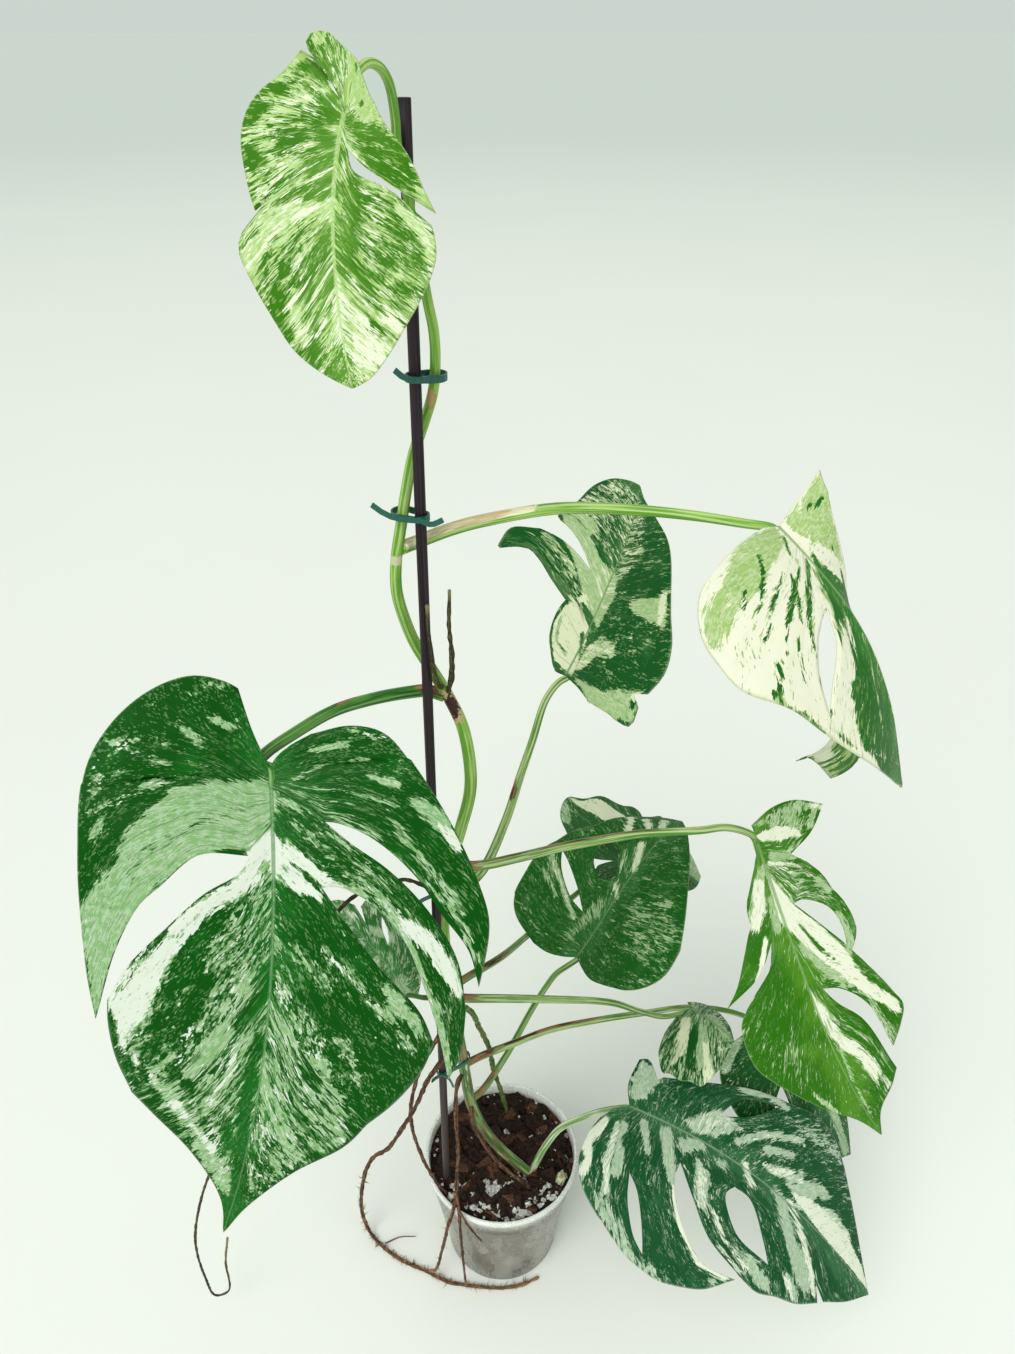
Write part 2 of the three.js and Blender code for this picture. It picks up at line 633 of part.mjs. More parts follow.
// Where a flat point of the blade lies in space: the midrib bends, sweeps sideways and rolls,
// and each half folds up from it, curls across and waves towards its margin.
function bladeSurface(leaf) {
  const STEPS = 24;
  const azimuth = radians(leaf.azimuth);
  const elevation = radians(leaf.elevation);
  const forward = new THREE.Vector3(
    Math.cos(elevation) * Math.cos(azimuth), Math.cos(elevation) * Math.sin(azimuth), Math.sin(elevation));
  const side = new THREE.Vector3().crossVectors(forward, new THREE.Vector3(0, 0, 1)).normalize();
  const up = new THREE.Vector3().crossVectors(side, forward);
  side.applyAxisAngle(forward, radians(leaf.roll));
  up.applyAxisAngle(forward, radians(leaf.roll));
  const frames = [{ place: vec(leaf.base), forward, side, up }];
  for (let i = 0; i < STEPS; i += 1) {
    const last = frames[i];
    const bends = leaf.bend;
    const bend = radians(bends[Math.floor(((i + 0.5) / STEPS) * bends.length)]) * (bends.length / STEPS);
    const sweep = radians(leaf.sweep) / STEPS;
    const turn = (v, part) => v.clone().applyAxisAngle(last.side, -bend * part);
    const half = turn(last.forward, 0.5).applyAxisAngle(last.up, -sweep / 2);
    const newUp = turn(last.up, 1);
    frames.push({
      place: last.place.clone().addScaledVector(half, leaf.length / STEPS),
      forward: turn(last.forward, 1).applyAxisAngle(newUp, -sweep),
      side: last.side.clone().applyAxisAngle(newUp, -sweep),
      up: newUp,
    });
  }
  const lobe = radians(leaf.lobe);

  function frameAt(y) {
    if (y < 0) {
      const back = forward.clone().multiplyScalar(Math.cos(lobe)).addScaledVector(up, -Math.sin(lobe));
      const lift = up.clone().multiplyScalar(Math.cos(lobe)).addScaledVector(forward, Math.sin(lobe));
      return { place: vec(leaf.base).addScaledVector(back, y), side, up: lift };
    }
    const step = Math.min(y / leaf.length, 1.15) * STEPS;
    const i = Math.min(STEPS - 1, Math.floor(step));
    const mix = (key) => frames[i][key].clone().lerp(frames[i + 1][key], step - i);
    return { place: mix('place'), side: mix('side'), up: mix('up') };
  }

  return (x, y, lift = 0) => {
    const frame = frameAt(y);
    const t = y / leaf.length;
    const hand = x >= 0 ? 0 : 1;
    const reach = Math.abs(x);
    const fold = radians(station(leaf.fold[hand], t));
    const curl = radians(leaf.curl[hand]) / 100;
    const across = (Math.sin(fold + curl * reach) - Math.sin(fold)) / curl;
    const [size, count, phase] = leaf.wave;
    const swell = size * Math.min(1.3, reach / leaf.halfWidth) ** 2;
    const ripple = swell * Math.sin(2 * Math.PI * (count * t + phase + 0.37 * hand));
    const rise = (Math.cos(fold) - Math.cos(fold + curl * reach)) / curl + ripple + lift;
    return frame.place.addScaledVector(frame.side, hand ? -across : across).addScaledVector(frame.up, rise);
  };
}

// Evenly spaced flat points along a smooth line.
function smooth(points, count) {
  if (points.length === 1) return Array(count + 1).fill(vec(points[0]));
  return new THREE.CatmullRomCurve3(points.map(vec), false, 'centripetal').getSpacedPoints(count);
}

const flatLength = (points) => points.slice(1)
  .reduce((sum, p, i) => sum + vec(p).distanceTo(vec(points[i])), 0);

// The two sides of an edge, row by row from the midrib to the margin.
function edgeSides(edge, start, rows) {
  const { inner = [], low, high, outer = [] } = edge;
  if (!inner.length) {
    const line = smooth(high ? [start, ...high] : [start], rows);
    return [line, line];
  }
  const stem = [start, ...inner];
  if (!low) {
    const line = smooth(stem, rows);
    return [line, line];
  }
  const split = inner[inner.length - 1];
  const join = outer.slice(0, 1);
  const last = outer.length ? flatLength(outer) : 0;
  const lengths = [flatLength(stem), flatLength([split, ...low, ...join]), last];
  const total = lengths[0] + lengths[1] + lengths[2];
  const opens = THREE.MathUtils.clamp(Math.round((rows * lengths[0]) / total), 1, rows - 1);
  const closes = outer.length
    ? THREE.MathUtils.clamp(Math.round((rows * (lengths[0] + lengths[1])) / total), opens + 2, rows - 1)
    : rows;
  const shared = smooth(stem, opens);
  const rest = outer.length ? smooth(outer, rows - closes).slice(1) : [];
  return [low, high].map((line) => [
    ...shared, ...smooth([split, ...line, ...join], closes - opens).slice(1), ...rest,
  ]);
}

// Where an edge leaves the midrib.
const startOf = (half, i, length) => (i === 0 ? 0 : half.edges[i].at ?? length);

// Each finger of a half as a grid of flat points: rows from midrib to margin, columns along it.
function fingerGrids(half, length, rows, columnWidth) {
  const starts = half.edges.map((edge, i) => [0, startOf(half, i, length)]);
  const sides = half.edges.map((edge, i) => edgeSides(edge, starts[i], rows));
  return half.margins.map((margin, i) => {
    const first = sides[i][1];
    const second = sides[i + 1][0];
    const rim = [first[rows].toArray(), ...margin, second[rows].toArray()];
    const columns = THREE.MathUtils.clamp(Math.round(flatLength(rim) / columnWidth), 2, 12);
    const edge = smooth(rim, columns);
    const from = vec(starts[i]);
    const to = vec(starts[i + 1]);
    return first.map((low, r) => edge.map((outer, c) => {
      const u = c / columns;
      const v = r / rows;
      return from.clone().lerp(to, u).multiplyScalar(1 - v)
        .addScaledVector(outer, v)
        .addScaledVector(low, 1 - u).addScaledVector(second[r], u)
        .addScaledVector(from, -(1 - u) * (1 - v)).addScaledVector(to, -u * (1 - v))
        .addScaledVector(first[rows], -(1 - u) * v).addScaledVector(second[rows], -u * v);
    }));
  });
}

// Heights along the midrib where either half has a vertex.
function midribStations(leaf) {
  const starts = [leaf.right, leaf.left]
    .flatMap((half) => half.edges.map((edge, i) => startOf(half, i, leaf.length)));
  const marks = [...new Set(starts)].sort((a, b) => a - b);
  return marks.flatMap((mark, i) => {
    if (i === 0) return [mark];
    const parts = Math.ceil((mark - marks[i - 1]) / BLADE.midribStep);
    return Array.from({ length: parts }, (_, k) => THREE.MathUtils.lerp(marks[i - 1], mark, (k + 1) / parts));
  });
}

// Triangles between two chains of vertices, each given as { id, u } with u rising from 0 to 1.
function zip(near, far) {
  const faces = [];
  let [i, j] = [0, 0];
  while (i < near.length - 1 || j < far.length - 1) {
    const farNext = i === near.length - 1 || (j < far.length - 1 && far[j + 1].u <= near[i + 1].u);
    if (farNext) {
      faces.push([near[i].id, far[j].id, far[j + 1].id]);
      j += 1;
    } else {
      faces.push([near[i].id, far[j].id, near[i + 1].id]);
      i += 1;
    }
  }
  return faces;
}

// One finger's triangles, facing up for the right half and down for the left.
function fingerFaces(ids, midrib) {
  const columns = ids[0].length - 1;
  const faces = zip(midrib, ids[1].map((id, c) => ({ id, u: c / columns })));
  for (let r = 1; r < ids.length - 1; r += 1) {
    for (let c = 0; c < columns; c += 1) {
      faces.push([ids[r][c], ids[r + 1][c], ids[r + 1][c + 1]]);
      faces.push([ids[r][c], ids[r + 1][c + 1], ids[r][c + 1]]);
    }
  }
  return faces.filter((face) => new Set(face).size === 3);
}

// Give a sheet thickness: the same triangles on both faces, closed round every open edge.
function thicken(places, faces, above, below) {
  const normals = places.map(() => new THREE.Vector3());
  faces.forEach(([a, b, c]) => {
    const cross = new THREE.Vector3().crossVectors(
      places[b].clone().sub(places[a]), places[c].clone().sub(places[a]));
    [a, b, c].forEach((i) => normals[i].add(cross));
  });
  normals.forEach((normal) => normal.normalize());
  const top = places.map((p, i) => p.clone().addScaledVector(normals[i], above));
  const bottom = places.map((p, i) => p.clone().addScaledVector(normals[i], -below[i]));
  const count = places.length;
  const triangles = [];
  const open = new Map();
  faces.forEach((face) => {
    triangles.push(face, face.map((i) => i + count).reverse());
    face.forEach((from, k) => {
      const to = face[(k + 1) % 3];
      if (!open.delete(`${to},${from}`)) open.set(`${from},${to}`, [from, to]);
    });
  });
  open.forEach(([from, to]) => {
    triangles.push([to, from, from + count], [to, from + count, to + count]);
  });
  return geometryFrom([...top, ...bottom], triangles);
}

// The blade as one thin solid with a midrib underneath.
function bladeGeometry(leaf) {
  const surface = bladeSurface(leaf);
  const places = [];
  const below = [];
  const seen = new Map();
  const faces = [];
  function vertex(flat, lift) {
    const place = surface(flat.x, flat.y, lift);
    const key = place.toArray().map((n) => Math.round(n * 20)).join();
    if (!seen.has(key)) {
      seen.set(key, places.length);
      places.push(place);
      const onRib = Math.abs(flat.x) < 1e-6 && flat.y >= 0;
      const fade = THREE.MathUtils.lerp(1, BLADE.ribFade, flat.y / leaf.length);
      const rib = onRib ? BLADE.ribDepth * fade * Math.min(1, leaf.length / 200 + 0.3) : 0;
      below.push(BLADE.thickness / 2 + rib);
    }
    return seen.get(key);
  }
  const stations = midribStations(leaf).map((y) => ({ y, id: vertex(vec([0, y]), 0) }));
  [leaf.right, leaf.left].forEach((half, hand) => {
    const columnWidth = leaf.columnWidth ?? BLADE.columnWidth;
    fingerGrids(half, leaf.length, BLADE.rows, columnWidth).forEach((grid, finger) => {
      const most = half.lift?.[finger] ?? 0;
      const [rows, columns] = [grid.length - 1, grid[0].length - 1];
      const ids = grid.map((row, r) => row.map(
        (flat, c) => vertex(flat, most * (r / rows) ** 2 * (1 - c / columns))));
      const [from, to] = [finger, finger + 1].map((i) => startOf(half, i, leaf.length));
      const midrib = stations.filter(({ y }) => y >= from && y <= to)
        .map(({ y, id }) => ({ id, u: (y - from) / (to - from) }));
      const found = fingerFaces(ids, midrib);
      faces.push(...(hand ? found.map((face) => face.reverse()) : found));
    });
  });
  return thicken(places, faces, BLADE.thickness / 2, below);
}

// One leaf: blade and petiole grown together, seated against the stem.
function leafGeometry(leaf, stemSeat) {
  const surface = bladeSurface(leaf);
  const under = [surface(0, 0, -2), surface(0, leaf.length * 0.045, -2.2)];
  const line = { ...leaf.petiole, points: [...leaf.petiole.points, ...under.map((p) => p.toArray())] };
  const petiole = toSolid(taperedTube(line, { sides: 6, spacing: 15 }));
  return toGeometry(cut(toSolid(bladeGeometry(leaf)).add(petiole), [stemSeat]));
}

function potGeometry() {
  const { rimRadius, topRadius, baseRadius, height, wall, floor, segments } = POT;
  const profile = [
    [0, 0], [baseRadius - 2, 0], [baseRadius, 2], [topRadius, height - 7],
    [rimRadius - 0.6, height - 6], [rimRadius, height - 3], [rimRadius - 1, height], [topRadius - 1, height],
    [topRadius - wall, height - 5], [baseRadius - wall, floor + 1.5],
    [baseRadius - wall - 1.5, floor], [0, floor],
  ].map(([r, z]) => new THREE.Vector2(r, z));
  return weld(new THREE.LatheGeometry(profile, segments).rotateX(Math.PI / 2));
}

// Inner radius of the pot's wall at a height.
function potInside(z) {
  const { topRadius, baseRadius, height, wall, floor } = POT;
  const t = (z - floor - 1.5) / (height - 5 - floor - 1.5);
  return THREE.MathUtils.lerp(baseRadius, topRadius, t) - wall;
}

function seededRandom(seed) {
  let state = seed;
  return () => {
    state = (state * 1664525 + 1013904223) % 4294967296;
    return state / 4294967296;
  };
}

// Bark mix: a cone that fills the pot, with flat-topped chips raised on its surface.
function soilGeometry() {
  const random = seededRandom(SOIL.seed);
  const chips = Array.from({ length: SOIL.chips }, () => ({
    x: (random() * 2 - 1) * 58, y: (random() * 2 - 1) * 58, reach: 5 + 6 * random(),
    rise: SOIL.chipRise * random(), tilt: random() - 0.5,
  }));
  const relief = (x, y) => chips.reduce((most, chip) => {
    const gap = Math.hypot(x - chip.x, y - chip.y) / chip.reach;
    const tilt = gap < 1 ? chip.tilt * (x - chip.x) * 0.2 : 0;
    return Math.max(most, chip.rise * Math.min(1, 2 * (1 - gap)) + tilt);
  }, 0);
  const { segments, floor } = POT;
  const low = floor + SEAT_GAP + 1.6;
  const vertices = [new THREE.Vector3(0, 0, SOIL.top + relief(0, 0))];
  const triangles = [];
  const at = (ring, k) => 1 + (ring - 1) * segments + (k % segments);
  for (let ring = 1; ring <= SOIL.rings + 1; ring += 1) {
    for (let k = 0; k < segments; k += 1) {
      const angle = (2 * Math.PI * k) / segments;
      const share = Math.min(1, ring / SOIL.rings);
      const radius = share * (potInside(SOIL.top - 2) - SEAT_GAP - 0.2);
      let [x, y] = [radius * Math.cos(angle), radius * Math.sin(angle)];
      let z = share < 1 ? SOIL.top + relief(x, y) : SOIL.top - 2;
      if (ring > SOIL.rings) {
        const base = potInside(low) - SEAT_GAP - 0.2;
        [x, y, z] = [base * Math.cos(angle), base * Math.sin(angle), low];
      }
      vertices.push(new THREE.Vector3(x, y, z));
      if (ring === 1) triangles.push([0, at(1, k), at(1, k + 1)]);
      else {
        triangles.push([at(ring - 1, k), at(ring, k), at(ring, k + 1)]);
        triangles.push([at(ring - 1, k), at(ring, k + 1), at(ring - 1, k + 1)]);
      }
    }
  }
  const centre = vertices.push(new THREE.Vector3(0, 0, low)) - 1;
  for (let k = 0; k < segments; k += 1) {
    triangles.push([centre, at(SOIL.rings + 1, k + 1), at(SOIL.rings + 1, k)]);
  }
  return geometryFrom(vertices, triangles);
}

function stakeGeometry(grow = 0) {
  const foot = vec(STAKE.foot);
  const axis = vec(STAKE.tip).sub(foot);
  const radius = STAKE.radius + grow;
  const rod = new THREE.CylinderGeometry(radius, radius, axis.length() + 2 * grow, STAKE.sides);
  const upright = new THREE.Vector3(0, 1, 0);
  const turn = new THREE.Quaternion().setFromUnitVectors(upright, axis.clone().normalize());
  rod.applyQuaternion(turn);
  const middle = foot.addScaledVector(axis, 0.5);
  return rod.translate(middle.x, middle.y, middle.z);
}

function stakeAt(z) {
  const [foot, tip] = [vec(STAKE.foot), vec(STAKE.tip)];
  return foot.lerp(tip, (z - STAKE.foot[2]) / (STAKE.tip[2] - STAKE.foot[2]));
}

const stemCurve = new THREE.CatmullRomCurve3(STEM.points.map(vec), false, 'centripetal');

function stemAt(z) {
  const line = stemCurve.getSpacedPoints(400);
  return line.reduce((best, p) => (Math.abs(p.z - z) < Math.abs(best.z - z) ? p : best));
}

// A strap pulled round two circles, as flat points.
function strapOutline([a, radiusA], [b, radiusB]) {
  const lean = Math.atan2(b.y - a.y, b.x - a.x);
  const touch = Math.acos((radiusA - radiusB) / Math.hypot(b.x - a.x, b.y - a.y));
  const arcs = [[b, radiusB, lean - touch, 2 * touch], [a, radiusA, lean + touch, 2 * (Math.PI - touch)]];
  return arcs.flatMap(([centre, radius, start, sweep]) => Array.from({ length: 9 }, (_, k) => {
    const angle = start + (sweep * k) / 8;
    return new THREE.Vector2(centre.x + radius * Math.cos(angle), centre.y + radius * Math.sin(angle));
  }));
}

// A flat wire-cored strip wrapped round stake and stem, with its twisted ends left loose.
function tieGeometry(tie) {
  const stake = stakeAt(tie.height);
  const stem = stemAt(tie.height);
  const outline = (extra) => strapOutline(
    [stake, STAKE.radius + TIE.slack + extra], [stem, STEM.radii[0] + TIE.slack + extra]);
  const band = new THREE.Shape(outline(TIE.thickness));
  band.holes.push(new THREE.Path(outline(0)));
  const strip = new THREE.ExtrudeGeometry(band, { depth: TIE.width, bevelEnabled: false, curveSegments: 1 });
  strip.translate(0, 0, tie.height - TIE.width / 2);
  const knot = stake.clone().add(new THREE.Vector3(0, -STAKE.radius - TIE.slack - TIE.thickness / 2, 0));
  return toGeometry(tie.tails.reduce((solid, tail) => {
    const path = [knot, ...tail.map((p) => knot.clone().add(vec(p)))];
    return solid.add(toSolid(ribbon(path, TIE.width * 0.84, TIE.thickness * 0.9)));
  }, toSolid(strip)));
}

function rootSolid(root, grow = 0) {
  const tube = (line) => toSolid(taperedTube(line, { sides: 5, spacing: 14, grow }));
  return (root.branches ?? []).reduce((solid, branch) => solid.add(tube(branch)), tube(root));
}

const group = new THREE.Group();

function add(name, geometry, color, roughness, extra = {}) {
  const material = new THREE.MeshStandardMaterial({ color, roughness, metalness: 0, ...extra });
  const mesh = new THREE.Mesh(geometry, material);
  mesh.name = name;
  group.add(mesh);
}

const tubeStyle = { sides: 8, spacing: 14 };
const stem = toSolid(taperedTube(STEM, tubeStyle));
const stemSeat = toSolid(taperedTube(STEM, { ...tubeStyle, grow: SEAT_GAP }));
const stakeSeat = toSolid(stakeGeometry(SEAT_GAP));
const lowLeaf = LEAVES.find((leaf) => leaf.name === 'leaf_front_low');
const planted = [
  stemSeat, stakeSeat,
  toSolid(taperedTube(lowLeaf.petiole, { sides: 6, spacing: 15, grow: SEAT_GAP })),
  ...ROOTS.filter((root) => /green|left|along/.test(root.name)).map((root) => rootSolid(root, SEAT_GAP)),
  toSolid(taperedTube(STUB, { sides: 8, spacing: 8, grow: SEAT_GAP })),
];

add('pot', potGeometry(), COLORS.pot, 0.25, { transparent: true, opacity: 0.45 });
add('soil', toGeometry(cut(toSolid(soilGeometry()), planted)), COLORS.soil, 0.95);
add('stake', stakeGeometry(), COLORS.stake, 0.6);
add('main_stem', toGeometry(stem), COLORS.stem, 0.5);
LEAVES.forEach((leaf) => {
  const color = leaf.name === 'leaf_right_cream' ? COLORS.pale : COLORS.leaf;
  add(leaf.name, leafGeometry(leaf, stemSeat), color, 0.4, { side: THREE.DoubleSide });
});
ROOTS.forEach((root) => add(root.name, toGeometry(cut(rootSolid(root), [stemSeat])), COLORS.root, 0.85));
add('cut_stub', taperedTube(STUB, { sides: 8, spacing: 8 }), COLORS.stem, 0.6);
TIES.forEach((tie) => add(tie.name, tieGeometry(tie), COLORS.tie, 0.5));

export default group;
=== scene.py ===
"""Looks of the potted variegated monstera: leaves, stems, roots, mix, pot, stake and ties."""
import math

import bpy
import numpy as np
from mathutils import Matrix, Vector


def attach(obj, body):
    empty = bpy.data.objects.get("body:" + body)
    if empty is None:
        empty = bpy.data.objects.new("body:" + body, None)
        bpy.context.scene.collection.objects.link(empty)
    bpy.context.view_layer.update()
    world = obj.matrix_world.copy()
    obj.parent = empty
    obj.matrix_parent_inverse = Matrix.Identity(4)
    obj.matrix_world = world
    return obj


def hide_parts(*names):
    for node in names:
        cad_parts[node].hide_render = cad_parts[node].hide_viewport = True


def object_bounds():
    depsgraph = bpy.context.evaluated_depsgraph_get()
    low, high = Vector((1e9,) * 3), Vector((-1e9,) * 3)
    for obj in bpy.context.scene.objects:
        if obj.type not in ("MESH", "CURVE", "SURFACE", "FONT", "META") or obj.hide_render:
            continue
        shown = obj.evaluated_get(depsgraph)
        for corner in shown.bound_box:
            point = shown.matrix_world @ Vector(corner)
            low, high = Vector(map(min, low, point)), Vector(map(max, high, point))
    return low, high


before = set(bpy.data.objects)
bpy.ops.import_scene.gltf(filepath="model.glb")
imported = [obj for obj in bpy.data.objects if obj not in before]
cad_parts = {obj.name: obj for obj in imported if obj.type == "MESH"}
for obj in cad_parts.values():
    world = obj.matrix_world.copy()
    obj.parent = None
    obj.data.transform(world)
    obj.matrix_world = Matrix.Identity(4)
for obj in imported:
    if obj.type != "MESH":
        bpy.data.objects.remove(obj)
CAD_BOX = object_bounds()
MM = 0.001

# The camera of the photo. It looks along +Y and down by its pitch. Its place is in millimetres, its
# focal length, its centre and the height of the photo are in the photo's pixels.
CAMERA = dict(place=(5, -508, 930), pitch=33, focal=1017, centre=(507.5, 677), photo_height=1354)

# Shapes, in millimetres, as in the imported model. Origin at the centre of the pot's base, +Z up.
POT = dict(rim_radius=65, top_radius=63, base_radius=48, height=120, floor=1.6)
SOIL_TOP = 109
STAKE = dict(foot=(-46.6, -20, 58), tip=(-37.8, -25, 902), radius=3)
STEM = dict(radii=[4.3, 4.3, 4.2, 3.8, 3, 2.1], points=[
    (36, -22, 82), (33, -21, 97), (28, -19, 109), (16, -14, 118), (1, -9, 132), (-14, -6, 157),
    (-24, -6, 191), (-28, -8, 232), (-32, -12, 286), (-37, -13, 329), (-39, -12, 373), (-39, -13, 414),
    (-34, -16, 460), (-25, -18, 496), (-18, -20, 530), (-18, -20, 553), (-22, -18, 578), (-30, -15, 597),
    (-39, -14, 615), (-47, -14, 631), (-52, -17, 649), (-55, -21, 670), (-54, -22, 688), (-50, -20, 710),
    (-47, -16, 726), (-43, -14, 743), (-36, -15, 762), (-31, -20, 778), (-29, -25, 794), (-29, -29, 809),
    (-31, -32, 823), (-34, -34, 845), (-37, -34, 863), (-39, -33, 875)])
STUB = dict(radii=[4.6, 4], points=[(47, -20, 92), (48, -22, 104), (49, -24, 114), (50, -25, 121)])
ROOTS = dict(
    root_upright=dict(radii=[1.7, 0.9], points=[
        (-30, -15, 599), (-27, -24, 614), (-26, -27, 632), (-27, -27, 651), (-26, -27, 673)]),
    root_on_stake=dict(radii=[1.3, 0.9], points=[
        (-33, -15, 603), (-34, -25, 611), (-36, -30, 623), (-37, -31, 638), (-38, -31, 651),
        (-38, -31, 666)]),
    root_green=dict(radii=[2, 1.7], points=[
        (-35, -12, 318), (-25, -3, 305), (-16, 8, 266), (-10, 18, 231), (-7, 26, 194), (-1, 34, 153),
        (5, 41, 111), (7, 43, 92)]),
    root_left=dict(radii=[1.6, 1.2], points=[
        (-37, -13, 334), (-39, -24, 326), (-44, -31, 312), (-56, -37, 290), (-65, -39, 258),
        (-69, -39, 222), (-63, -38, 171), (-52, -36, 129), (-45, -33, 108), (-44, -32, 98)]),
    root_round_pot=dict(radii=[1.7, 1.2], points=[
        (-32, -12, 288), (-38, -23, 284), (-45, -31, 279), (-54, -36, 266), (-66, -34, 228),
        (-77, -31, 199), (-92, -26, 162), (-106, -20, 140), (-120, -10, 85), (-125, -4, 23),
        (-118, -10, 3.5), (-104, -22, 1.6), (-90, -31, 1.6), (-64, -42, 1.6), (-47, -50, 1.6),
        (-28, -53, 1.6), (-7, -55, 1.6), (16, -53, 1.6), (32, -46, 1.6)]),
    root_over_rim=dict(radii=[1.7, 1.1], points=[
        (-29, -8.6, 238), (-34, -20, 236), (-35, -30, 214), (-34, -40, 176), (-36, -49, 143),
        (-38, -56, 129), (-43, -59, 108), (-50, -53, 60), (-58, -46, 14), (-63, -44, 8)], branches=[
        dict(radii=[1.3, 0.9], points=[
            (-36, -49, 143), (-34, -58, 128), (-33, -61, 96), (-32, -58, 44), (-31, -56, 8)]),
        dict(radii=[1, 0.7], points=[(-34, -58, 128), (-25, -63, 112), (-16, -63, 92)]),
    ]),
    root_along_soil=dict(radii=[1.6, 1.4], points=[
        (-24, -7, 198), (-24, -15, 186), (-17, -17, 162), (0, -24, 135), (22, -30, 116), (30, -32, 100)]),
    root_wiry=dict(radii=[1.2, 0.8], points=[
        (-39, -13, 425), (-47, -10, 434), (-60, -24, 458), (-70, -42, 472), (-90, -60, 478),
        (-122, -80, 445), (-161, -92, 365), (-205, -95, 246), (-221, -93, 198), (-235, -88, 141),
        (-241, -80, 73), (-240, -72, 24), (-232, -69, 24), (-226, -70, 74), (-217, -74, 118)]),
)
TIES = ("tie_upper", "tie_middle", "tie_lower", "tie_base")

